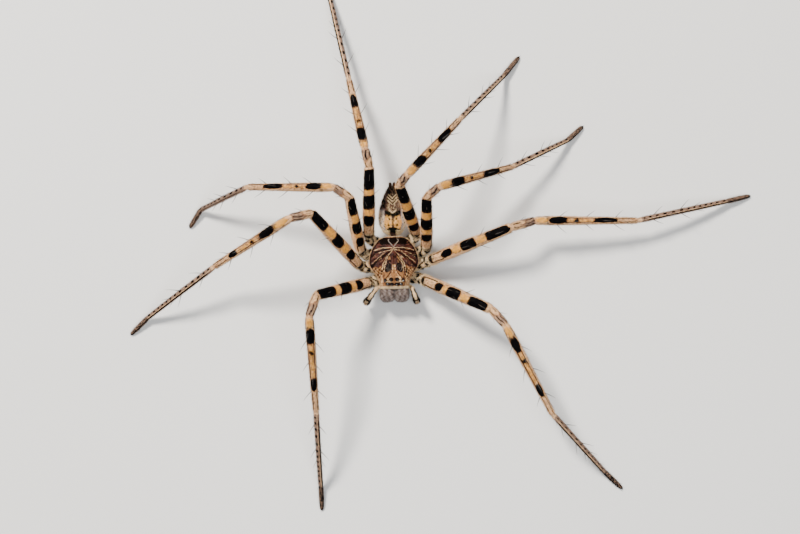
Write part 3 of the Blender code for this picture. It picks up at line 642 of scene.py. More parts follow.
def leg_radii(pair, even, progress, number):
    """The profiles of the pieces, with a groove and a collar at each joint and a round toe."""
    radii = np.zeros(len(even))
    for index, piece in enumerate(PIECES):
        here = number == index
        girth = 1 if piece == "tarsus" else PAIR_GIRTH[pair]
        radii[here] = fine_profile(PROFILES[piece], progress[here] - index, PROFILE_SOFTNESS)[0] * girth
    radii = np.convolve(np.pad(radii, 2, mode="edge"), np.ones(5) / 5, "valid") - COAT_DEPTH
    for index in range(1, len(PIECES)):
        gap = even - np.interp(index, progress, even)
        groove = bell(gap, GROOVE_WIDTH) * (TOE_GROOVE if index == len(PIECES) - 1 else JOINT_GROOVE)
        collar = bell(gap + COLLAR_PLACE, COLLAR_WIDTH) * COLLAR_RISE
        radii = radii * (1 - groove + collar)
    return radii * np.sqrt(np.clip((even[-1] - even) / TOE_ROUNDING, 0.0, 1.0)) + 0.012


def build_leg_patch(side, side_sign, pair):
    """One continuous tube from inside the flank to the toe, pinched at each joint."""
    name = f"{side}_{pair}"
    curves = leg_controls(side_sign, pair, leg_spots(side_sign, pair, name))
    centres, tangents, even, progress = leg_path(curves)
    number = np.minimum(progress.astype(int), len(PIECES) - 1)
    share = progress - number
    radii = leg_radii(pair, even, progress, number)
    points = tube_points(centres, tangents, radii, RING_POINTS)
    points[:, :, 2] = np.maximum(points[:, :, 2], LOWEST_SKIN_Z)

    turn = full_turn(RING_POINTS)
    lean = np.degrees(np.arctan2(np.cos(turn) * side_sign, np.sin(turn)))
    front, rear = MARK_MARGINS.get(name, MARK_MARGIN)
    angle = np.where(lean > 0, lean / front, lean / rear)
    draw = random.Random(f"marks {name}")
    marks = np.zeros((*points.shape[:2], 4))
    for index, (piece, length) in enumerate(zip(PIECES, (COXA_LENGTH,) + LEG_LENGTHS[pair])):
        here = number == index
        along = np.repeat(share[here][:, None], RING_POINTS, axis=1)
        marks[here] = LegPaint(name, length, along, np.broadcast_to(angle, along.shape), draw).marks(piece)
    around = np.stack([np.cos(turn), np.sin(turn)], -1)[None, :, :] * radii[:, None, None]
    lengthways = np.repeat(even[:, None, None], RING_POINTS, axis=1) * LEG_FLOW_STRETCH
    patch = Patch(f"leg_{name}", points, marks, "leg", np.concatenate([lengthways, around], -1), body=False)
    patch.number = number
    patch.share = share
    patch.curves = curves
    return patch


def rim_and_crest(y, inset=0.0):
    """Half width and crest of the carapace, rounded off at the rear."""
    rim, crest = fine_profile(CARAPACE_STATIONS, np.asarray(y, float), 0.5)
    back = np.sqrt(np.clip(1 - np.clip((np.asarray(y) - 1.0) / 1.28, 0, 1) ** 5, 0.02, 1))
    return (rim - inset) * back, RIM_Z + (crest - inset - RIM_Z) * np.sqrt(back)


def relief(x, y):
    """How far the skin of the carapace sinks at its furrows; the eye mounds rise."""
    side = np.abs(x)
    radius = np.hypot(x, y)
    fovea = bell(x, 0.1) * band(y, -0.2, 0.6, 0.15)
    angle = np.arctan2(-(y - 0.1), side)
    grooves = (0.5 + 0.5 * np.cos(angle * 6.5 + 0.4)) ** 2
    grooves = grooves * smooth(0.5, 1.6, radius) * smooth(5.2, 3.2, radius)
    neck, _ = polyline_distance(side, y, NECK_FURROW)
    sink = 0.2 * fovea + 0.11 * grooves + 0.15 * bell(neck, 0.22)
    for x_eye, y_eye, radius_eye in EYES.values():
        near = np.hypot(side - x_eye, y - y_eye)
        sink = sink - 0.1 * bell(near, radius_eye * 1.5)
    return sink


def dome_height(x, y):
    rim, crest = rim_and_crest(y)
    turn = np.arccos(np.clip(np.abs(x) / rim, 0, 1) ** (1 / 0.9))
    return RIM_Z + (crest - RIM_Z) * np.sin(turn) ** 0.85


def on_dome(x, y, stand):
    step = 0.08
    slope_x = (dome_height(x + step, y) - dome_height(x - step, y)) / (2 * step)
    slope_y = (dome_height(x, y + step) - dome_height(x, y - step)) / (2 * step)
    normal = unit(np.array([-slope_x, -slope_y, 1.0]))
    return np.array([x, y, float(dome_height(x, y))]) + normal * stand


def painted(x, y, lines):
    """How strongly lines cover each point."""
    cover = np.zeros(np.shape(x))
    for strength, width, fade, line in lines:
        distance, share = polyline_distance(x, y, line)
        cover = np.maximum(cover, strength * (1 - fade * share) * until(0.35 * width, width, distance))
    return cover


def polyline_distance(x, y, line):
    """Distance from points to a smooth line through a few places, and the share along it."""
    places = np.array(line, float)
    count = len(places)
    fine = np.linspace(0, count - 1, 24)
    low = np.clip(fine.astype(int), 0, count - 2)
    part = (fine - low)[:, None]
    before = places[np.maximum(low - 1, 0)]
    after = places[np.minimum(low + 2, count - 1)]
    a, b = places[low], places[low + 1]
    curve = 0.5 * (2 * a + (b - before) * part + (2 * before - 5 * a + 4 * b - after) * part ** 2
                   + (3 * a - before - 3 * b + after) * part ** 3)
    best = np.full(np.shape(x), 1e9)
    share = np.zeros(np.shape(x))
    for index in range(len(curve) - 1):
        start = curve[index]
        step = curve[index + 1] - start
        here = np.clip(((x - start[0]) * step[0] + (y - start[1]) * step[1]) / (step @ step), 0, 1)
        distance = np.hypot(x - start[0] - here * step[0], y - start[1] - here * step[1])
        closer = distance < best
        best = np.where(closer, distance, best)
        share = np.where(closer, (index + here) / (len(curve) - 1), share)
    return best, share


def thorax_marks(x, y, edge, wobble):
    """The starburst of pale lines over streaked brown, and the dark rear."""
    side = np.abs(x)
    radius = np.hypot(x, y)
    pale = painted(side + wobble, y + wobble, PALE_LINES)
    warm = painted(side + wobble, y, TAN_LINES)
    dark = painted(side + wobble, y, DARK_LINES) * smooth(0.3, 0.8, radius)
    streaks = 0.5 + 0.5 * np.cos(np.arctan2(-(y - 0.1), side) * 37 + 3 * wobble)
    blotches = np.sin(x * 3.1 + 1.3) * np.sin(y * 3.7 + 0.4) + 0.6 * np.sin(x * 6.7) * np.sin(y * 7.9 + x)
    thorax = smooth(-3.1, -2.2, y + 0.25 * side)
    rear = smooth(0.7, 1.0, y + wobble) * until(2.1, 2.9, side) * smooth(0.2, 0.34, edge)
    dark = highest(dark, thorax * smooth(0.5, 1.2, radius) * (0.16 + 0.42 * streaks + 0.24 * blotches),
                   0.95 * rear) * until(0.25, 0.5, pale)
    warm = highest(warm, 0.36 * thorax * smooth(0.7, 1.6, radius) * (1 - streaks + 0.3 * blotches))
    return dark, pale, warm, thorax


def head_marks(x, y, wobble, dark, pale, warm):
    """A pair of streaked dark ovals, the tan field that widens towards the eyes, and mottled cheeks."""
    side = np.abs(x)
    middle = 0.78 + 0.3 * (-y - 2.5)
    oval = ((side - middle) / 0.56) ** 2 + ((y + 3.35) / 0.92) ** 2
    inside = until(0.6, 1.2, oval) * (y < -1.5)
    grain = 0.5 + 0.5 * np.cos((side - middle) * 21.0 + 1.5 * np.sin(y * 5.0 + x))
    past = side - np.interp(y, *zip(*FIELD_WIDTHS))
    field = until(-0.05, 0.1, past + 0.6 * wobble) * smooth(-2.5, -2.9, y) * smooth(-6.1, -5.95, y)
    around = smooth(-4.7, -5.1, y) * smooth(0.15, 0.45, side)
    between = smooth(-3.6, -4.1, y) * (1 - field) * until(1.75, 1.95, side)
    cheek = smooth(-2.0, -3.0, y + 0.2 * side) * smooth(1.6, 2.1, side)
    mottle = 0.5 + 0.5 * np.sin(x * 9.0 + 1.0 + 2 * np.sin(y * 3.0)) * np.cos(y * 7.0 + np.sin(x * 4.0))
    dark = highest(dark * (1 - inside) * (1 - 0.85 * field), 0.15 * between,
                   inside * (0.95 - 0.56 * grain * until(0.3, 0.9, oval)),
                   0.85 * band(past + 0.6 * wobble, 0.06, 0.24, 0.07) * band(y, -5.5, -4.05, 0.15),
                   0.72 * cheek * (1 - mottle) * smooth(-6.2, -4.8, y),
                   0.55 * field * until(0.03, 0.1, side) * (y > -4.4),
                   0.6 * until(0.05, 0.16, side) * band(y, -5.95, -5.25, 0.15))
    pale = highest(pale * (1 - 0.9 * inside) * (1 - field),
                   field * highest(0.5 * smooth(-0.4, -0.1, past), 0.56 * around),
                   0.46 * smooth(-4.0, -5.4, y) * smooth(1.8, 2.05, side),
                   0.52 * cheek * mottle)
    return dark, pale, highest(warm, 0.85 * cheek, 0.7 * between, 0.85 * field), inside


def face_marks(side, y, dark, pale):
    """Dark rings round the eyes, the dark row of the front eyes, a pale brow and the pale lip."""
    for kind, (x_eye, y_eye, eye) in EYES.items():
        inner = 0.08 if kind == "posterior_median" else 0.0
        near = np.hypot(side - x_eye + inner, y - y_eye - inner)
        reach = 1.1 if kind.endswith("lateral") else 1.6
        dark = highest(dark, 0.95 * until(eye * reach, eye * reach * 1.5, near))
    row_middle = -6.36 + 0.13 * side
    row_half = 0.09 + 0.12 * bell(side - 0.45, 0.22) + 0.14 * bell(side - 1.15, 0.25)
    row = until(0.7, 1.2, np.abs(y - row_middle) / row_half) * until(1.25, 1.45, side)
    brow = band(y, -5.98, -5.8, 0.06) * band(side, 0.85, 1.7, 0.15)
    lip = band(y, -7.4, -6.66, 0.07)
    return highest(dark, 0.95 * row) * (1 - lip) * (1 - 0.7 * brow), highest(pale, 0.75 * brow, lip)


def carapace_marks(x, y, upper):
    """Marks of the prosoma; upper is 1 above the rim and 0 on the underside."""
    side = np.abs(x)
    rim, _ = rim_and_crest(y)
    edge = np.minimum(rim - side, 2.3 - y)
    wobble = 0.06 * np.sin(x * 5.3 + 2.0) * np.sin(y * 4.1) + 0.04 * np.sin(x * 11.0) * np.cos(y * 9.0 + x)
    dark, pale, warm, thorax = thorax_marks(x, y, edge, wobble)
    dark, pale, warm, inside = head_marks(x, y, wobble, dark, pale, warm)
    dark, pale = face_marks(side, y, dark, pale)
    rear_lines = painted(side, y, PALE_LINES[:1])
    margin = until(0.06, 0.22, edge) * smooth(-6.6, -4.5, y)
    dark = dark * (1 - rear_lines)
    pale = highest(pale * (1 - 0.85 * smooth(0.45, 0.8, dark)), 0.9 * margin)
    dark = highest(dark * (1 - 0.9 * margin), 0.7 * band(edge, 0.26, 0.5, 0.08) * thorax)
    under = 1 - upper
    dark = dark * upper + 0.15 * under
    pale = (pale * upper + 0.45 * under) * (1 - 0.75 * rear_lines)
    warm = warm * upper * (1 - 0.6 * dark) + 0.3 * under
    return stack_marks(dark, pale, warm, highest(0.5 * inside, rear_lines) * upper)


def closing_rows(points, depth, outward, count=7):
    """Rings that round off and close the open end of a tube."""
    centre = points.mean(axis=0)
    rows = []
    for step in range(1, count + 1):
        turn = step / count * math.pi / 2
        share = math.cos(turn)
        rows.append(centre + (points - centre) * max(share, 0.004) + outward * depth * math.sin(turn))
    return rows


def prosoma_section(y, rim, crest):
    """One half of a section, from the middle of the sternum round the rim to the crest."""
    bulge = math.sqrt(max(1 - ((y - FLANK_MIDDLE_Y) / FLANK_HALF_LENGTH) ** 2, 0.12))
    flank = CHEEK_HALF_WIDTH if y < CHEEK_Y else min(FLANK_HALF_WIDTH * bulge, rim * 0.93)
    outline = [(0.0, STERNUM_Z), (flank * 0.55, STERNUM_Z), (flank * 0.85, STERNUM_Z + 0.12),
               (flank, FLANK_FOOT_Z), (flank, RIM_UNDER_Z), (rim * 0.97, RIM_UNDER_Z + 0.05)]
    for turn in np.linspace(0, math.pi / 2, DOME_SAMPLES):
        outline.append((rim * math.cos(turn) ** 0.9 - 1e-4, RIM_Z + (crest - RIM_Z) * math.sin(turn) ** 0.85))
    outline = np.array(outline)
    outline[-1, 0] = 0.0
    reach = path_reach(outline)
    under = reach[5]
    places = np.concatenate([np.linspace(0, under, UNDER_POINTS, endpoint=False),
                             np.linspace(under, reach[-1], DOME_POINTS)])
    x = np.interp(places, reach, outline[:, 0])
    z = np.interp(places, reach, outline[:, 1])
    kernel = np.array([1, 2, 3, 2, 1]) / 9
    xs = np.convolve(np.pad(x, 2, mode="reflect", reflect_type="odd"), kernel, "valid")
    zs = np.convolve(np.pad(z, 2, mode="reflect"), kernel, "valid")
    xs[0] = 0.0
    xs[-1] = 0.0
    return xs, zs


def build_prosoma_patch():
    ys = np.linspace(2.2, PROSOMA_FRONT + 0.06, PROSOMA_ROWS)
    rims, crests = rim_and_crest(ys, COAT_DEPTH)
    rings = []
    for y, rim, crest in zip(ys, rims, crests):
        x, z = prosoma_section(y, rim, crest)
        left = np.stack([x, np.full(len(x), y), z], -1)
        right = np.stack([-x[-2:0:-1], np.full(len(x) - 2, y), z[-2:0:-1]], -1)
        rings.append(np.vstack([left, right]))
    points = np.array(rings)
    upper = smooth(RIM_Z - 0.15, RIM_Z + 0.1, points[:, :, 2])
    points[:, :, 2] -= upper * relief(points[:, :, 0], points[:, :, 1])
    front = closing_rows(points[-1], 0.06, np.array([0, -1.0, 0]), 10)
    back = closing_rows(points[0], 0.06, np.array([0, 1.0, 0]), 10)
    points = np.array(back[::-1] + list(points) + front)
    upper = smooth(RIM_Z - 0.35, RIM_Z - 0.1, points[:, :, 2])
    marks = carapace_marks(points[:, :, 0], points[:, :, 1], upper)
    x, y = points[:, :, 0], points[:, :, 1]
    angle = np.arctan2(y - 0.1, np.abs(x) + 0.05)
    flow = np.stack([0.35 * np.hypot(x, y), angle * 2.2 + 3 * np.sign(x), 0.5 * points[:, :, 2]], -1)
    return Patch("prosoma", points, marks, "carapace", flow)


def abdomen_front(x, y, wobble, flank):
    """A pair of cream patches with a warm core, a dark blot before them and a dark bar behind them."""
    side = np.abs(x)
    specks = 0.5 + 0.5 * np.sin(x * 9.0 + 2 * np.sin(y * 3.0)) * np.cos(y * 8.0 + x * 3.0)
    cream_patch = ((side - 0.85) / 0.68) ** 2 + ((y - 4.75) / 1.25) ** 2
    core = ((side - 1.0) / 0.55) ** 2 + ((y - 4.45) / 0.85) ** 2
    blot = (x / 1.25) ** 2 + ((y - 3.5 + 0.2 * side) / 0.5) ** 2
    bar = y - 6.15 - 0.42 * side + wobble
    pits = [np.hypot(side - x_pit, y - y_pit) for x_pit, y_pit in SIGILLA]
    pale = highest(0.52 * flank, 0.85 * until(0.55, 1.2, cream_patch + 2 * wobble),
                   0.9 * band(side, 0.14, 0.3, 0.06) * band(y, 3.9, 5.9, 0.2))
    warm = highest(0.95 * until(0.4, 1.2, core), 0.7 * until(0.8, 1.9, cream_patch),
                   0.38 * band(y, 6.9, 8.0, 0.2) * until(1.0, 1.5, side))
    dark = highest(0.9 * until(0.03, 0.12, side) * band(y, 3.6, 6.4, 0.2),
                   0.95 * until(0.5, 1.3, blot + 3 * wobble),
                   0.5 * band(y, 2.7, 3.3, 0.12) * until(1.0, 1.4, side),
                   0.62 * smooth(0.55, 0.85, specks) * smooth(5.4, 4.4, y) * smooth(0.4, 0.7, side),
                   0.6 * smooth(0.6, 0.85, specks) * flank,
                   band(bar, -0.42, 0.3, 0.14) * until(1.2, 1.6, side),
                   *(0.95 * until(0.12, 0.26, pit) for pit in pits))
    return dark, pale, warm


def abdomen_rear(x, y, wobble, dark, pale):
    """A pale veil with a notch, then chevrons with their points forward between darker flanks."""
    side = np.abs(x)
    veil = band(y, 6.9, 8.1, 0.2) * until(1.0, 1.5, side + wobble)
    notch = band(y - 0.8 * side, 6.3, 6.62, 0.08) * until(0.55, 0.8, side)
    rear = smooth(7.85, 8.1, y - 0.5 * side)
    wave = 0.5 + 0.5 * np.cos((y - 0.95 * side - 7.9 + 0.4 * wobble) / 0.62 * 2 * math.pi)
    inner = until(0.85, 1.2, side)
    mottle = 0.5 + 0.5 * np.sin(x * 8.0 + 2.0) * np.sin(y * 6.0 + x)
    pale = highest(highest(pale, 0.55 * veil, 0.95 * notch) * (1 - rear),
                   0.85 * rear * smooth(0.5, 0.85, wave) * inner * until(9.4, 10.4, y))
    dark = highest(dark * (1 - 0.95 * notch) * (1 - veil),
                   0.7 * until(0.04, 0.14, side) * band(y, 7.0, 7.9, 0.15),
                   rear * inner * 0.85 * smooth(0.45, 0.2, wave),
                   (0.42 + 0.22 * mottle) * smooth(9.3, 10.2, y),
                   (0.46 + 0.24 * mottle) * smooth(6.8, 7.6, y + wobble) * smooth(0.95, 1.4, side))
    return dark, pale


def abdomen_marks(x, y, upper):
    """Marks of the abdomen; upper is 1 on its back and 0 on the underside."""
    wobble = 0.09 * np.sin(x * 4.3 + 1.0) * np.sin(y * 3.7) + 0.05 * np.sin(x * 9.0 + y * 7.0)
    flank = band(y, 2.9, 7.0, 0.3) * smooth(1.3, 1.6, np.abs(x) + wobble)
    dark, pale, warm = abdomen_front(x, y, wobble, flank)
    dark, pale = abdomen_rear(x, y, wobble, dark, pale)
    under = 1 - upper
    # Painted shade: the lower flank, below the widest line, is darkened half way, as shade that outlines the
    # body from above
    edge = band(upper, 0.1, 0.7, 0.15)
    dark = highest(dark * upper, 0.5 * edge) + 0.1 * under
    pale = highest(pale * upper, 0.25 * under) * (1 - 0.75 * np.minimum(warm, pale))
    return stack_marks(dark, pale, warm, 0.95 * flank * upper)


def build_abdomen_patch():
    ys = np.linspace(1.9, 11.05, ABDOMEN_ROWS)
    widths, heights, middles = fine_profile(ABDOMEN_STATIONS, ys, 0.3)
    turn = full_turn(ABDOMEN_POINTS)
    rings = []
    for y, width, height, middle in zip(ys, widths, heights, middles):
        ripple = 1 + 0.02 * math.sin(y * 6.0) * smooth(6.0, 8.0, y) * np.cos(turn) ** 2
        x = max(width - COAT_DEPTH, 0.4) * np.cos(turn) * ripple
        z = middle + max(height - COAT_DEPTH, 0.35) * np.sin(turn)
        rings.append(np.stack([x, np.full(ABDOMEN_POINTS, y), z], -1))
    points = np.array(rings + closing_rows(rings[-1], 0.3, np.array([0, 1.0, 0])))
    x, y = points[:, :, 0], points[:, :, 1]
    for x_pit, y_pit in SIGILLA:
        near = np.hypot(np.abs(x) - x_pit, y - y_pit)
        points[:, :, 2] -= 0.06 * bell(near, 0.12) * (points[:, :, 2] > 4.5)
    upper = smooth(2.7, 4.3, points[:, :, 2])
    marks = abdomen_marks(x, y, upper)
    flow = np.stack([0.3 * y, x, points[:, :, 2]], -1)
    return Patch("abdomen", points[::-1].copy(), marks[::-1].copy(), "abdomen", flow[::-1].copy())


def build_chelicera_patch(side, sign):
    zs = np.linspace(1.62, 5.36, CHELICERA_ROWS)
    fronts, widths = fine_profile(CHELICERA_SLICES, zs, 0.3)
    turn = full_turn(CHELICERA_POINTS)
    power = 2 / CHELICERA_FULLNESS
    rings = []
    for z, front, width in zip(zs, fronts, widths):
        width = width - COAT_DEPTH
        front = front + COAT_DEPTH
        depth = (CHELICERA_BACK_Y - front) / 1.6
        x = sign * CHELICERA_OFFSET + width * np.sign(np.cos(turn)) * np.abs(np.cos(turn)) ** power
        y = front + depth + depth * np.sign(np.sin(turn)) * np.abs(np.sin(turn)) ** power
        x = x - sign * 0.13 * smooth(0.2, 0.9, -sign * np.cos(turn))
        y = y + 0.45 * smooth(0.3, 1.0, np.sin(turn))
        rings.append(np.stack([x, y, np.full(len(x), z)], -1))
    top = closing_rows(rings[-1], 0.16, np.array([0, 0, 1.0]))
    low = closing_rows(rings[0], 0.1, np.array([0, 0, -1.0]))
    points = np.array(low[::-1] + rings + top)
    across = (points[:, :, 0] - sign * CHELICERA_OFFSET) * sign
    height = points[:, :, 2]
    front = points[:, :, 1]
    ripple = 0.5 + 0.5 * np.sin(across * 7.5 + 2.0 * np.sin(front * 2.9)) * np.cos(front * 4.6 + height * 2.1)
    dark = 0.66 * smooth(0.4, 1.0, ripple) * smooth(2.2, 3.4, height)
    dark = np.maximum(dark, 0.9 * smooth(2.5, 1.8, height))
    pale = 0.9 * smooth(0.7, 0.1, ripple) * smooth(3.0, 4.4, height)
    marks = stack_marks(dark, pale, 0.0, 1.0)
    return Patch(f"chelicera_{side}", points, marks, "chelicera", points[:, :, [2, 0, 1]] * (0.3, 1, 1))


def palp_spots(side, sign):
    heading = PALP_HEADINGS[side]
    root_heading = -PALP_TROCHANTER_SWEEP if sign > 0 else PALP_TROCHANTER_SWEEP - 180
    spots = [np.array([sign * (CHEEK_HALF_WIDTH + GAP), PALP_ROOT_Y, PALP_ROOT_Z])]
    for length, rise in zip(PALP_LENGTHS, PALP_RISES[side]):
        way = direction(root_heading if len(spots) == 1 else heading, rise)
        spots.append(spots[-1] + way * length)
    spots.append(spots[-1] + direction(heading, PALP_BULB_RISE) * PALP_BULB_LENGTH)
    return spots


def palp_radii(joints, even):
    """Swollen in the middle of every piece and pinched at the joints, with the bulb at the end."""
    knots = [joints[0], joints[1]]
    for before, joint in zip(joints[1:4], joints[2:5]):
        knots += [(before + joint) / 2, joint]
    root, trochanter, femur, patella, tibia = PALP_RADII
    sizes = [root, trochanter, femur * 1.1, femur, patella * 1.1, patella, tibia * 1.1,
             PALP_BULB_PROFILE[0][1]]
    for place, radius in PALP_BULB_PROFILE[1:]:
        knots.append(joints[4] + (joints[5] - joints[4]) * place)
        sizes.append(radius)
    radii = fine_profile(list(zip(knots, sizes)), even, 0.12)[0] - 0.03
    for joint in joints[1:5]:
        radii = radii * (1 - 0.2 * bell(even - joint, 0.12))
    return radii * np.sqrt(np.clip((even[-1] - even) / 0.25, 0, 1)) + 0.008


def palp_marks(joints, even):
    """Pale pieces with dark joints and edges, a warm dark tibia and a darker bulb."""
    turn = full_turn(PALP_POINTS)
    top = smooth(0.2, 0.85, np.sin(turn))[None, :]
    edges = smooth(0.4, 0.65, np.abs(np.cos(turn)))[None, :]
    place = even[:, None]
    dark = highest(0.36 * smooth(joints[4] + 0.1, joints[4] + 0.5, place),
                   np.exp(-((place - joints[3] - 0.4) / 0.24) ** 4) * top,
                   0.9 * edges * smooth(joints[1], joints[2], place),
                   *(0.62 * bell(place - joint, 0.14) * (1 - 0.4 * top) for joint in joints[1:4]))
    pale = highest(0.8 * until(joints[4] - 0.1, joints[4] + 0.1, place),
                   0.7 * band(place, joints[4] + 0.45, joints[4] + 0.9, 0.1) * top)
    warm = 0.6 * np.exp(-((place - joints[3] - 0.4) / 0.5) ** 4) * top
    return stack_marks(dark, pale, warm, 0.0)


def build_palp_patch(side, sign):
    spots = palp_spots(side, sign)
    spots[0] = spots[0] - unit(spots[1] - spots[0]) * PALP_ROOT_DEPTH
    rough = np.vstack([np.linspace(start, end, PALP_PIECE_POINTS)[min(index, 1):]
                       for index, (start, end) in enumerate(zip(spots, spots[1:]))])
    joints = path_reach(rough)[::PALP_PIECE_POINTS - 1]
    centres, tangents, even = smooth_path(rough, PALP_SPACING, 0.3)
    level = unit(np.cross(direction(PALP_HEADINGS[side], 0), UP))
    up = unit(np.cross(np.broadcast_to(level, tangents.shape), tangents))
    points = ring_points(centres, unit(np.cross(tangents, up)), up, palp_radii(joints, even), PALP_POINTS)
    return Patch(f"palp_{side}", points, palp_marks(joints, even), "palp")


def build_spinneret_patches():
    tip_y, _, _, tip_z = ABDOMEN_STATIONS[-1]
    patches = []
    for name, side, rise in (("upper_left", 1, 1), ("upper_right", -1, 1),
                             ("lower_left", 1, -1), ("lower_right", -1, -1)):
        root = np.array([side * SPINNERET_SPREAD, tip_y - 0.15, tip_z + rise * SPINNERET_SPREAD])
        end = root + np.array([side * 0.08, SPINNERET_LENGTH + 0.5, rise * 0.02])
        centres = np.linspace(root, end, SPINNERET_ROWS)
        tangents = np.broadcast_to(unit(end - root), centres.shape)
        share = np.linspace(0, 1, SPINNERET_ROWS)
        radii = SPINNERET_RADIUS * (1.0 - 0.25 * share - 0.12 * bell(share - 0.6, 0.05))
        radii = radii * np.sqrt(np.clip((1 - share) / 0.15, 0, 1)) + 0.01
        points = tube_points(centres, tangents, radii, SPINNERET_POINTS)
        marks = stack_marks(np.full(points.shape[:2], 0.5), 0.0, 0.0, 0.0)
        patches.append(Patch(f"spinneret_{name}", points, marks, "abdomen"))
    return patches


def mesh_object(name, points, faces, materials, attributes, material_index=None):
    """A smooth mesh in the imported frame; faces is an array of equal faces or a list of mixed ones."""
    mesh = bpy.data.meshes.new(name)
    world = (points + SHIFT) * MM
    mesh.vertices.add(len(world))
    mesh.vertices.foreach_set("co", world.astype(np.float32).ravel())
    counts = [faces.shape[1]] * len(faces) if isinstance(faces, np.ndarray) else [len(face) for face in faces]
    corners = np.concatenate(faces).astype(np.int32)
    mesh.loops.add(len(corners))
    mesh.loops.foreach_set("vertex_index", corners)
    mesh.polygons.add(len(counts))
    mesh.polygons.foreach_set("loop_start", (np.cumsum(counts) - counts).astype(np.int32))
    for material in materials:
        mesh.materials.append(material)
    if material_index is not None:
        mesh.polygons.foreach_set("material_index", np.asarray(material_index, np.int32))
    for key, values in attributes.items():
        colour = values.shape[1] == 4
        layer = mesh.attributes.new(key, "FLOAT_COLOR" if colour else "FLOAT_VECTOR", "POINT")
        layer.data.foreach_set("color" if colour else "vector", np.asarray(values, np.float32).ravel())
    mesh.update(calc_edges=True)
    mesh.validate()
    mesh.shade_smooth()
    item = bpy.data.objects.new(name, mesh)
    bpy.context.scene.collection.objects.link(item)
    return item


def grid_faces(rows, columns, start):
    """Quads of a tube that closes round its columns."""
    row = np.arange(rows - 1)[:, None]
    column = np.arange(columns)[None, :]
    after = (column + 1) % columns
    faces = np.stack([row * columns + column, (row + 1) * columns + column,
                      (row + 1) * columns + after, row * columns + after], -1)
    return faces.reshape(-1, 4) + start


def build_skin(patches, looks):
    """All the patches in one mesh, with what the materials read at every point."""
    faces = []
    index = []
    start = 0
    names = list(looks)
    for patch in patches:
        rows, columns = patch.points.shape[:2]
        made = grid_faces(rows, columns, start)
        faces.append(made[:, ::-1] if patch.reversed else made)
        index.append(np.full(len(made), names.index(patch.material)))
        start += rows * columns
    points = np.vstack([patch.points.reshape(-1, 3) for patch in patches])
    marks = np.vstack([patch.marks.reshape(-1, 4) for patch in patches])
    flow = np.vstack([patch.flow.reshape(-1, 3) for patch in patches])
    return mesh_object("skin", points, np.vstack(faces), [looks[name] for name in names],
                       {"spot": points, "marks": marks, "flow": flow}, np.concatenate(index))


class Graph:
    """Short calls for building a material's nodes."""

    def __init__(self, name):
        self.material = bpy.data.materials.new(name)
        self.material.use_nodes = True
        self.nodes = self.material.node_tree.nodes
        self.links = self.material.node_tree.links
        self.shader = self.nodes["Principled BSDF"]

    def feed(self, socket, value):
        if isinstance(value, bpy.types.NodeSocket):
            self.links.new(value, socket)
        else:
            socket.default_value = value

    def attribute(self, name):
        node = self.nodes.new("ShaderNodeAttribute")
        node.attribute_name = name
        return node.outputs

    def split(self, vector):
        node = self.nodes.new("ShaderNodeSeparateXYZ")
        self.links.new(vector, node.inputs[0])
        return node.outputs

    def math(self, operation, first, second=0.0):
        node = self.nodes.new("ShaderNodeMath")
        node.operation = operation
        self.feed(node.inputs[0], first)
        self.feed(node.inputs[1], second)
        return node.outputs[0]

    def scale(self, vector, factors):
        node = self.nodes.new("ShaderNodeVectorMath")
        node.operation = "MULTIPLY"
        self.links.new(vector, node.inputs[0])
        node.inputs[1].default_value = factors
        return node.outputs[0]

    def noise(self, vector, scale, detail=3.0, roughness=0.5, distortion=0.0):
        node = self.nodes.new("ShaderNodeTexNoise")
        self.links.new(vector, node.inputs["Vector"])
        node.inputs["Scale"].default_value = scale
        node.inputs["Detail"].default_value = detail
        node.inputs["Roughness"].default_value = roughness
        node.inputs["Distortion"].default_value = distortion
        return node.outputs["Fac"]

    def cells(self, vector, scale):
        node = self.nodes.new("ShaderNodeTexVoronoi")
        self.links.new(vector, node.inputs["Vector"])
        node.inputs["Scale"].default_value = scale
        return node.outputs["Distance"]

    def ease(self, value, low, high, start=0.0, end=1.0):
        node = self.nodes.new("ShaderNodeMapRange")
        node.interpolation_type = "SMOOTHSTEP"
        self.feed(node.inputs["Value"], value)
        node.inputs["From Min"].default_value = low
        node.inputs["From Max"].default_value = high
        node.inputs["To Min"].default_value = start
        node.inputs["To Max"].default_value = end
        return node.outputs[0]

    def mix(self, factor, first, second):
        node = self.nodes.new("ShaderNodeMix")
        node.data_type = "RGBA"
        self.feed(node.inputs["Factor"], factor)
        for socket, value in ((node.inputs[6], first), (node.inputs[7], second)):
            self.feed(socket, value if isinstance(value, bpy.types.NodeSocket) else (*value, 1.0))
        return node.outputs[2]

    def bump(self, height, strength, distance, normal=None):
        node = self.nodes.new("ShaderNodeBump")
        node.inputs["Strength"].default_value = strength
        node.inputs["Distance"].default_value = distance
        self.links.new(height, node.inputs["Height"])
        if normal is not None:
            self.links.new(normal, node.inputs["Normal"])
        return node.outputs[0]


def skin_depth(graph, spot, fibre):
    """Light that enters a little, and the relief of fibres and pits."""
    graph.shader.inputs["Subsurface Weight"].default_value = 0.06
    graph.shader.inputs["Subsurface Radius"].default_value = (0.0006, 0.0003, 0.00015)
    graph.shader.inputs["Subsurface Scale"].default_value = 1.0
    pits = graph.cells(spot, 7.0)
    height = graph.math("ADD", graph.math("MULTIPLY", fibre, 1.2), graph.math("MULTIPLY", pits, 0.4))
    graph.links.new(graph.bump(height, 0.7, 0.00007), graph.shader.inputs["Normal"])


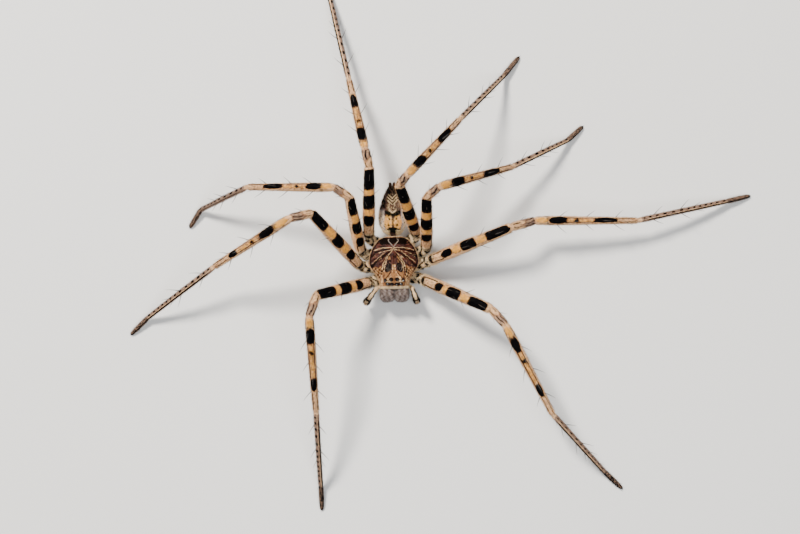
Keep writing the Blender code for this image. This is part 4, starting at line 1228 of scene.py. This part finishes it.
def cuticle(name, colours, speckle, roughness, sheen=0.05, skin=True):
    """Skin or hair with dark, pale, warm and grey marks, whose edges are broken up like hair, and painted
    sheen streaks on the dark.
    """
    base, second, warm, pale, dark, grey, painted_glint = colours
    graph = Graph(name)
    spot = graph.attribute("spot")["Vector"]
    flow = graph.attribute("flow")["Vector"]
    marks = graph.attribute("marks")
    dark_mark, pale_mark, warm_mark = graph.split(marks["Vector"])
    coarse = graph.noise(spot, 1.4, 4.0, 0.6)
    fine = graph.noise(spot, 3.2, 5.0, 0.62)
    grain = graph.noise(spot, 24.0, 2.0, 0.5)
    fibre = graph.noise(flow, 9.0, 4.0, 0.62)
    ragged = graph.math("ADD", graph.math("MULTIPLY", graph.math("SUBTRACT", fibre, 0.5), 1.0),
                        graph.math("MULTIPLY", graph.math("SUBTRACT", fine, 0.5), 1.9))

    def edge(mark, reach):
        return graph.ease(graph.math("ADD", mark, graph.math("MULTIPLY", ragged, reach)), 0.44, 0.56)

    colour = graph.mix(graph.ease(coarse, 0.38, 0.62), base, second)
    colour = graph.mix(graph.math("MULTIPLY", marks["Alpha"], 0.9), colour, grey)
    freckles = graph.ease(graph.math("ADD", fine, graph.math("MULTIPLY", grain, 0.35)), 0.7, 0.82)
    colour = graph.mix(graph.math("MULTIPLY", edge(warm_mark, 0.8), 0.9), colour, warm)
    colour = graph.mix(graph.math("MULTIPLY", edge(pale_mark, 0.8), 0.92), colour, pale)
    colour = graph.mix(graph.math("MULTIPLY", freckles, speckle), colour, tuple(c * 0.22 for c in second))
    # Painted sheen: along the fibres the dark is lightened towards the glint colour, as highlights on the
    # black hair
    lit = graph.mix(graph.ease(fibre, 0.6, 0.74, 0.0, 0.35), dark, painted_glint)
    colour = graph.mix(edge(dark_mark, 0.8), colour, lit)
    shaded = graph.nodes.new("ShaderNodeHueSaturation")
    graph.links.new(colour, shaded.inputs["Color"])
    streak = graph.math("ADD", graph.math("MULTIPLY", fibre, 0.6), graph.math("MULTIPLY", fine, 0.4))
    graph.feed(shaded.inputs["Value"], graph.ease(streak, 0.36, 0.62, 0.55, 1.3))
    graph.links.new(shaded.outputs[0], graph.shader.inputs["Base Color"])
    graph.links.new(graph.ease(fibre, 0.3, 0.7, roughness - 0.1, roughness + 0.15),
                    graph.shader.inputs["Roughness"])
    graph.links.new(graph.ease(dark_mark, 0.2, 0.7, 0.2, 0.02), graph.shader.inputs["Specular IOR Level"])
    graph.links.new(graph.ease(dark_mark, 0.2, 0.7, sheen, 0.0), graph.shader.inputs["Sheen Weight"])
    graph.shader.inputs["Sheen Roughness"].default_value = 0.4
    graph.shader.inputs["Sheen Tint"].default_value = (0.75, 0.82, 1.0, 1.0)
    if skin:
        skin_depth(graph, spot, fibre)
    return graph.material


def horn(name, root, tip, roughness):
    """Polished dark horn with faint streaks, for fangs, claws and spines."""
    graph = Graph(name)
    spot = graph.attribute("spot")["Vector"]
    streak = graph.noise(spot, 14.0, 3.0, 0.6)
    graph.links.new(graph.mix(graph.ease(streak, 0.3, 0.7), root, tip), graph.shader.inputs["Base Color"])
    graph.links.new(graph.ease(streak, 0.2, 0.8, roughness * 0.7, roughness * 1.3),
                    graph.shader.inputs["Roughness"])
    graph.shader.inputs["Coat Weight"].default_value = 0.3
    graph.links.new(graph.bump(streak, 0.25, 0.00002), graph.shader.inputs["Normal"])
    return graph.material


def eye_glass():
    graph = Graph("eye_lens")
    spot = graph.attribute("spot")["Vector"]
    depth = graph.noise(spot, 5.0, 2.0)
    graph.links.new(graph.mix(graph.ease(depth, 0.3, 0.7), (0.004, 0.004, 0.006), (0.025, 0.016, 0.012)),
                    graph.shader.inputs["Base Color"])
    graph.shader.inputs["Roughness"].default_value = 0.05
    graph.shader.inputs["Coat Weight"].default_value = 1.0
    graph.shader.inputs["Coat Roughness"].default_value = 0.02
    return graph.material


def make_looks():
    """A hair material for every palette, and a skin material for those that the skin wears."""
    looks = {}
    for name, colours in PALETTES.items():
        if name in SKINS:
            looks[name] = cuticle(name, colours, *SKINS[name])
        looks[f"{name}_hair"] = cuticle(f"{name}_hair", colours, *HAIR_LOOK, skin=False)
    return looks


def add_eyes(material):
    """Domed lenses, one for each eye of the solids."""
    lift = np.linspace(-math.pi / 2 + 0.02, math.pi / 2 - 0.02, EYE_ROWS)
    turn = full_turn(EYE_COLUMNS)
    ball = np.stack([np.cos(lift)[:, None] * np.cos(turn), np.cos(lift)[:, None] * np.sin(turn),
                     np.sin(lift)[:, None] * np.ones(EYE_COLUMNS)], -1)
    faces = grid_faces(EYE_ROWS, EYE_COLUMNS, 0)[:, ::-1]
    for kind, (x, y, radius) in EYES.items():
        for side, sign in SIDES:
            centre = swung(on_dome(sign * x, y, radius * EYE_STAND))
            points = (ball * radius * 0.98 + centre).reshape(-1, 3)
            eye = mesh_object(f"lens_{kind}_{side}", points, faces, [material], {"spot": points})
            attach(eye, "root")
            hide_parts(f"eye_{kind}_{side}")


def cone_set(name, cones, material, sides, rings):
    """Many curved tapered spikes in one mesh; each is root, control, tip, root radius, tip radius."""
    points = []
    faces = []
    start = 0
    for root, control, tip, root_radius, tip_radius in cones:
        centres = arc_points(root, control, tip, rings)
        tangents = unit(np.gradient(centres, axis=0))
        guide = AHEAD if abs(tangents[0][2]) > 0.9 else UP
        radii = root_radius + (tip_radius - root_radius) * np.linspace(0, 1, rings) ** 1.2
        points.append(tube_points(centres, tangents, radii, sides, guide).reshape(-1, 3))
        last = start + rings * sides
        faces.extend(grid_faces(rings, sides, start).tolist())
        faces.append(list(range(start, start + sides)))
        faces.append(list(range(last - 1, last - sides - 1, -1)))
        start = last
    stacked = np.vstack(points)
    return mesh_object(name, stacked, faces, [material], {"spot": stacked})


def add_fangs(material):
    """Curved horns under the chelicerae, crossing below the mouth."""
    lowest, front, _ = CHELICERA_SLICES[-1]
    for side, sign in SIDES:
        root = np.array([sign * (CHELICERA_OFFSET + 0.1), (front + CHELICERA_BACK_Y) / 2 - 0.1, lowest - GAP])
        tip = root + np.array([-sign * FANG_REACH, 0.15, -FANG_DROP])
        control = root + np.array([-sign * 0.15, 0.0, -FANG_DROP])
        high_root = root + np.array([0, 0, GAP + 0.1])
        spots = [swung(spot) for spot in (high_root, control, tip)]
        fang = cone_set(f"fang_{side}_horn", [(*spots, FANG_ROOT_RADIUS * 0.95, 0.03)], material, 20, 26)
        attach(fang, "root")
        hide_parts(f"fang_{side}")


def spine_cone(patch, girth, piece, place, turn, lean, length, thick):
    """A spine at a share along a piece and an angle round it, both angles in degrees."""
    turn = math.radians(turn)
    lean = math.radians(lean)
    start, control, end = patch.curves[piece]
    centre = start * (1 - place) ** 2 + control * 2 * place * (1 - place) + end * place ** 2
    along = unit((control - start) * (1 - place) + (end - control) * place)
    side = unit(np.cross(along, UP))
    outward = side * math.cos(turn) + np.cross(side, along) * math.sin(turn)
    radius = np.interp(place, *zip(*PROFILES[piece])) * girth
    way = outward * math.sin(lean) + along * math.cos(lean)
    root = centre + outward * (radius - SPINE_ROOT_DEPTH)
    bend = root + way * length * 0.5 + outward * length * 0.08
    return root, bend, root + way * (length + SPINE_ROOT_DEPTH), thick, SPINE_TIP_RADIUS


def spine_cones(patch, name, pair):
    """Spines in the places of the solids, with a finer set between them."""
    draw = random.Random(f"{SPINE_SEED} {name}")
    extra = random.Random(f"more {name}")
    girth = PAIR_GIRTH[pair]
    cones = []
    for piece, places in SPINE_PLACES.items():
        for place, turn in places:
            place += draw.uniform(-0.02, 0.02)
            turn += draw.uniform(-8, 8)
            lean = SPINE_LEAN + draw.uniform(-6, 6)
            length = SPINE_LENGTH * (1 + draw.uniform(-SPINE_VARIATION, SPINE_VARIATION))
            cones.append(spine_cone(patch, girth, piece, place, turn, lean, length, SPINE_RADIUS))
    for piece, places in FINE_SPINE_PLACES.items():
        for place, turn in places:
            place += extra.uniform(-0.03, 0.03)
            turn += extra.uniform(-12, 12)
            lean = extra.uniform(*FINE_SPINE_LEAN)
            length = extra.uniform(*FINE_SPINE_LENGTH)
            cones.append(spine_cone(patch, girth, piece, place, turn, lean, length, FINE_SPINE_RADIUS))
    return cones


def add_spines(legs, material):
    cones = []
    for patch, name, pair in legs:
        cones.extend(spine_cones(patch, name, pair))
    spines = cone_set("leg_spines", cones, material, 7, 6)
    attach(spines, "root")


def add_claws(legs, material):
    """Two small hooks at each toe, half hidden by the claw tuft."""
    cones = []
    for patch, _, _ in legs:
        start, _, end = patch.curves["tarsus"]
        along = unit(end - start)
        level = unit(np.array([along[0], along[1], 0.0]))
        side = unit(np.cross(along, UP))
        for _, sign in SIDES:
            root = end - along * 0.42 + side * sign * 0.1 + UP * 0.14
            control = root + level * 0.24 + UP * 0.14
            tip = root + level * 0.36 + side * sign * 0.06 - UP * 0.14
            cones.append((root, control, tip, 0.055, 0.012))
    claws = cone_set("claws", cones, material, 8, 8)
    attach(claws, "root")


def sample_patch(patch, count, seed, accept=None):
    """Random places on a patch, spread by area, with what the skin has there."""
    rng = np.random.default_rng(seed)
    points = patch.points
    rows, columns = points.shape[:2]
    ahead = points[1:] - points[:-1]
    around = np.roll(points, -1, axis=1)[:-1] - points[:-1]
    area = np.linalg.norm(np.cross(ahead, around), axis=-1)
    if accept is not None:
        area = area * accept(patch)[:-1]
    cells = rng.choice(area.size, size=count, p=(area / area.sum()).ravel())
    row, column = np.unravel_index(cells, area.shape)
    part_row = rng.random(count)[:, None]
    part_column = rng.random(count)[:, None]
    following = (column + 1) % columns

    def blend(values):
        low = values[row, column] * (1 - part_row) + values[row + 1, column] * part_row
        high = values[row, following] * (1 - part_row) + values[row + 1, following] * part_row
        return low * (1 - part_column) + high * part_column

    place = np.hstack([(row[:, None] + part_row) / rows, (column[:, None] + part_column) / columns])
    return {"root": blend(points), "normal": unit(blend(patch.normals)), "along": unit(blend(patch.along)),
            "marks": blend(patch.marks), "flow": blend(patch.flow), "place": place, "rng": rng}


def hair_object(name, found, ways, lengths, widths, material, bend):
    """Solid three-sided hairs; every hair is a small patch of the OFBake map at its root's place."""
    roots = found["root"]
    normals = found["normal"]
    side = unit(np.cross(ways, normals))
    lift = unit(np.cross(side, ways))
    lengths = lengths[:, None]
    widths = widths[:, None]

    def triangle(middle, share):
        return [middle + (side * math.cos(turn) + lift * math.sin(turn) * HAIR_FLATNESS) * widths * share
                for turn in HAIR_ANGLES]

    roots = roots - along_skin(ways, normals) * np.minimum(lengths * 0.4, HAIR_BACKSET)
    corners = triangle(roots - ways * HAIR_ROOT_DEPTH, 1.0)
    if bend:
        middle = roots + ways * lengths * HAIR_BEND_PLACE
        tip = middle + unit(ways - normals * bend) * lengths * (1 - HAIR_BEND_PLACE)
        corners += triangle(middle, HAIR_TAPER) + [tip]
        pattern, layout = LONG_FACES, LONG_LAYOUT
    else:
        corners += [roots + ways * lengths]
        pattern, layout = SHORT_FACES, SHORT_LAYOUT
    size = len(corners)
    points = np.stack(corners, axis=1).reshape(-1, 3)
    points[:, 2] = np.maximum(points[:, 2], LOWEST_HAIR_Z)
    start = np.arange(len(roots))[:, None] * size
    faces = np.concatenate([start + np.array(face)[None, :] for face in pattern], axis=1).reshape(-1, 3)
    spread = {key: np.repeat(values, size, axis=0)
              for key, values in (("spot", roots), ("marks", found["marks"]), ("flow", found["flow"]))}
    item = mesh_object(name, points, faces, [material], spread)
    local = (np.array(layout) - 0.5) * TUFT_PATCH
    corner_places = (found["place"][:, None, :] * 0.99 + 0.005 + local[None, :, :]).reshape(-1, 2)
    layer = item.data.uv_layers.new(name="OFBake")
    loops = np.zeros(len(item.data.loops), np.int32)
    item.data.loops.foreach_get("vertex_index", loops)
    layer.data.foreach_set("uv", corner_places[loops].astype(np.float32).ravel())
    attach(item, "root")
    return item


def along_skin(ways, normals):
    return unit(ways - normals * np.sum(ways * normals, axis=-1, keepdims=True))


def coat(patch, kind, name, look, accept=None, way=None, marks=None, seed=0):
    """Hair over one patch, lying along it, by the kind's row of COATS."""
    count, own_seed, slot, length, width, lift, spread, bend = COATS[kind]
    found = sample_patch(patch, count, own_seed + seed, accept)
    rng = found["rng"]
    normals = found["normal"]
    ways = found["along"] if way is None else way(found["root"], normals)
    ways = ways + rng.normal(0, spread, ways.shape)
    ways = unit(along_skin(ways, normals) + normals * rng.uniform(*lift, (count, 1)))
    lengths = rng.uniform(*length, count)
    widths = rng.uniform(*width, count) / 2
    found["flow"] = found["flow"] + rng.normal(0, 0.3, found["flow"].shape)
    if marks is not None:
        found["marks"] = marks(found["marks"], rng)
    item = hair_object(name, found, ways, lengths, widths, look, bend)


def on_pieces(*names):
    """Accepts places on these leg pieces only."""
    wanted = [PIECES.index(name) for name in names]
    return lambda patch: np.isin(patch.number, wanted)[:, None] * np.ones(RING_POINTS)


def hip(patch):
    """The coxa and the root of the femur."""
    root = (patch.number == PIECES.index("femur")) * until(0.04, 0.1, patch.share)
    return highest(root, patch.number == PIECES.index("coxa"))[:, None] * np.ones(RING_POINTS)


def upper_prosoma(patch):
    return clear_of_eyes(patch) * (patch.points[:, :, 2] > 4.5)


def under_prosoma(patch):
    return patch.points[:, :, 2] <= 4.7


def pale_lines(patch):
    """The pale lines of the thorax and of the front rim."""
    y = patch.plan[:, :, 1]
    return upper_prosoma(patch) * ((y > -2.7) + (y < -6.55)) * smooth(0.35, 0.6, patch.marks[:, :, 1])


def lip(patch):
    return upper_prosoma(patch) * (patch.plan[:, :, 1] < -6.7)


def open_abdomen(patch):
    return patch.plan[:, :, 1] > 2.5


def abdomen_shoulders(patch):
    x, y, z = np.moveaxis(patch.plan, -1, 0)
    return (y < 3.4) * (z > 3.4) * (np.abs(x) > 0.5)


def between_chelicerae(patch):
    return np.abs(patch.plan[:, :, 0]) < 0.6


def clear_of_eyes(patch):
    side = np.abs(patch.plan[:, :, 0])
    open_share = np.ones(side.shape)
    for x, y, radius in EYES.values():
        near = np.hypot(side - x, patch.plan[:, :, 1] - y)
        open_share = open_share * smooth(radius * 1.05, radius * 1.25, near)
    return open_share


def paler(marks, rng):
    """A few hairs are pale, also on the dark patches."""
    marks = marks.copy()
    pale = rng.random(len(marks)) < 0.02
    marks[pale, 0] = 0.0
    marks[pale, 1] = 0.9
    return marks


def darker(marks, rng):
    """Some of the long hairs are dark, also on the pale bands."""
    marks = marks.copy()
    marks[rng.random(len(marks)) < 0.4, 0] = 1.0
    return marks


def mixed(marks, rng):
    """Pale, grey and dark hairs side by side, in clumps where the skin is paler or darker."""
    marks = marks.copy()
    marks[:, 0] = marks[:, 0] * rng.uniform(0.3, 1.2, len(marks))
    marks[:, 1] = marks[:, 1] * rng.uniform(0.3, 1.2, len(marks))
    return marks


def cream(marks, rng):
    marks = marks * 0
    marks[:, 1] = rng.uniform(0.7, 1.0, len(marks))
    return marks


def waves(size, seed):
    """A smooth field over the skin, as three values between -1 and 1."""
    draw = np.random.default_rng(seed)
    ways = unit(draw.normal(0, 1, (3, 3))) * 2 * math.pi / size
    shifts = draw.uniform(0, 2 * math.pi, 3)
    return lambda spots: np.sin(spots @ ways.T + shifts)


def toward(x, y, z):
    return lambda roots, normals: np.broadcast_to(np.array([x, y, z], float), roots.shape)


def from_fovea(roots, normals):
    """Outward over the thorax, forward on the head."""
    out = unit(roots * (1, 1, 0) + (0, 0.2, 0))
    head = smooth(-3.0, -4.5, roots[:, 1])[:, None]
    return out * (1 - head) + np.array([0, -1.0, 0]) * head


def add_leg_coat(patch, name, pair, looks):
    """Fur and bristles of the shaft and foot, tufts in clumps on the hip, and the pad of the toe."""
    seed = 10 * pair + (1 if "left" in name else 2)
    field = waves(0.9, seed)

    def clumps(patch):
        return hip(patch) * smooth(-0.2, 0.3, field(patch.points)[:, :, 0])

    def lean(roots, normals):
        return 0.8 * unit(field(roots)[:, [1, 2, 0]]) + unit(roots * (1, 1, 0))

    rows = (
        ("fur_leg", "leg", on_pieces("femur", "patella", "tibia"), None, None),
        ("fur_foot", "leg", on_pieces("metatarsus", "tarsus"), None, None),
        ("bristles_leg", "leg", on_pieces(*PIECES[1:]), None, darker),
        ("fur_hip", "coxa", hip, None, None),
        ("tuft_hip", "coxa", clumps, lean, None),
        ("pad_toe", "leg", on_pieces("tarsus"), None, None),
    )
    for kind, look, accept, way, marks in rows:
        coat(patch, kind, f"{kind}_{name}", looks[f"{look}_hair"], accept, way, marks, seed)


def add_body_coat(prosoma, abdomen, chelicerae, palps, spinnerets, looks):
    back = toward(0, 1, -0.05)
    rows = (
        (prosoma, "fur_carapace", "carapace", upper_prosoma, from_fovea, None),
        (prosoma, "lines_carapace", "carapace", pale_lines, from_fovea, None),
        (prosoma, "bristles_carapace", "carapace", upper_prosoma, from_fovea, paler),
        (prosoma, "fur_sternum", "carapace", under_prosoma, None, None),
        (prosoma, "lip_hair", "coxa", lip, toward(0, -1, -0.3), cream),
        (abdomen, "fur_abdomen", "abdomen", open_abdomen, back, None),
        (abdomen, "bristles_abdomen", "abdomen", open_abdomen, back, paler),
        (abdomen, "fringe_abdomen", "abdomen", abdomen_shoulders, from_fovea, cream),
    )
    for patch, kind, look, accept, way, marks in rows:
        coat(patch, kind, kind, looks[f"{look}_hair"], accept, way, marks)
    for patch in spinnerets:
        coat(patch, "fur_spinneret", f"fur_{patch.name}", looks["abdomen_hair"])
    for patch in chelicerae:
        look = looks["chelicera_hair"]
        coat(patch, "fur_chelicera", f"fur_{patch.name}", look, None, toward(0, -0.8, -0.9), mixed)
        coat(patch, "bridge_chelicera", f"bridge_{patch.name}", look, between_chelicerae,
             toward(0, -0.7, -0.6), mixed)
    for patch in palps:
        coat(patch, "fur_palp", f"fur_{patch.name}", looks["palp_hair"], marks=paler)


def build_camera():
    """Straight down on the animal, turned and centred as in the photograph."""
    turn = math.radians(BODY_TURN)
    scale = PIXEL_MM * (CAMERA_Z - FOVEA_Z) / (CAMERA_Z - SCALE_PLANE_Z)
    offset_x = (FOVEA_PIXEL[0] - IMAGE_WIDTH / 2) * scale
    offset_y = -(FOVEA_PIXEL[1] - IMAGE_HEIGHT / 2) * scale
    x = -offset_x * math.cos(turn) - offset_y * math.sin(turn)
    y = offset_x * math.sin(turn) - offset_y * math.cos(turn)
    data = bpy.data.cameras.new("camera")
    data.sensor_fit = "HORIZONTAL"
    data.sensor_width = 36.0
    data.lens = 36.0 * (CAMERA_Z - SCALE_PLANE_Z) / (IMAGE_WIDTH * PIXEL_MM)
    data.clip_start = 0.01
    data.clip_end = 10.0
    camera = bpy.data.objects.new("camera", data)
    bpy.context.scene.collection.objects.link(camera)
    camera.location = ((x + SHIFT[0]) * MM, (y + SHIFT[1]) * MM, CAMERA_Z * MM)
    camera.rotation_euler = (0.0, 0.0, -turn)
    bpy.context.scene.camera = camera


def area_light(name, place, size, power, colour):
    data = bpy.data.lights.new(name, "AREA")
    data.shape = "DISK"
    data.size = size
    data.energy = power
    data.color = colour
    light = bpy.data.objects.new(name, data)
    bpy.context.scene.collection.objects.link(light)
    light.location = place
    light.rotation_euler = (-Vector(place)).to_track_quat("-Z", "Y").to_euler()


def build_studio():
    bpy.ops.mesh.primitive_plane_add(size=FLOOR_SIZE, location=(0.0, 0.0, 0.0))
    floor = bpy.context.object
    floor.name = "floor"
    graph = Graph("floor")
    place = graph.nodes.new("ShaderNodeTexCoord").outputs["Object"]
    tone = graph.noise(place, 6.0, 2.0)
    graph.links.new(graph.mix(graph.ease(tone, 0.3, 0.7), *FLOOR_COLOURS), graph.shader.inputs["Base Color"])
    graph.shader.inputs["Roughness"].default_value = 0.9
    floor.data.materials.append(graph.material)

    for name, light in LIGHTS.items():
        area_light(name, *light)
    world = bpy.data.worlds.new("studio")
    world.use_nodes = True
    background = world.node_tree.nodes["Background"]
    background.inputs["Color"].default_value = SKY_COLOUR
    background.inputs["Strength"].default_value = SKY_STRENGTH
    bpy.context.scene.world = world


def flesh_nodes():
    names = ["prosoma", "abdomen", "spinnerets"]
    for side, _ in SIDES:
        names += [f"chelicera_{side}", f"palp_arm_{side}", f"palp_bulb_{side}"]
        for pair in HIPS:
            names += [f"{piece}_{side}_{pair}" for piece in ("coxa", "femur", "patella", "tibia", "foot")]
    return names


def main():
    build_camera()
    build_studio()
    looks = make_looks()
    legs = [(build_leg_patch(side, sign, pair), f"{side}_{pair}", pair)
            for side, sign in SIDES for pair in HIPS]
    prosoma = build_prosoma_patch()
    abdomen = build_abdomen_patch()
    chelicerae = [build_chelicera_patch(side, sign) for side, sign in SIDES]
    palps = [build_palp_patch(side, sign) for side, sign in SIDES]
    spinnerets = build_spinneret_patches()
    patches = [patch for patch, _, _ in legs] + [prosoma, abdomen] + chelicerae + palps + spinnerets
    skin = build_skin(patches, {name: looks[name] for name in SKINS})
    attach(skin, "root")
    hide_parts(*flesh_nodes())
    add_eyes(eye_glass())
    dark_horn = horn("fang_horn", *FANG_COLOURS, 0.2)
    add_fangs(dark_horn)
    add_claws(legs, dark_horn)
    add_spines(legs, horn("spine_horn", *SPINE_COLOURS, 0.3))
    for patch, name, pair in legs:
        add_leg_coat(patch, name, pair, looks)
    add_body_coat(prosoma, abdomen, chelicerae, palps, spinnerets, looks)


main()
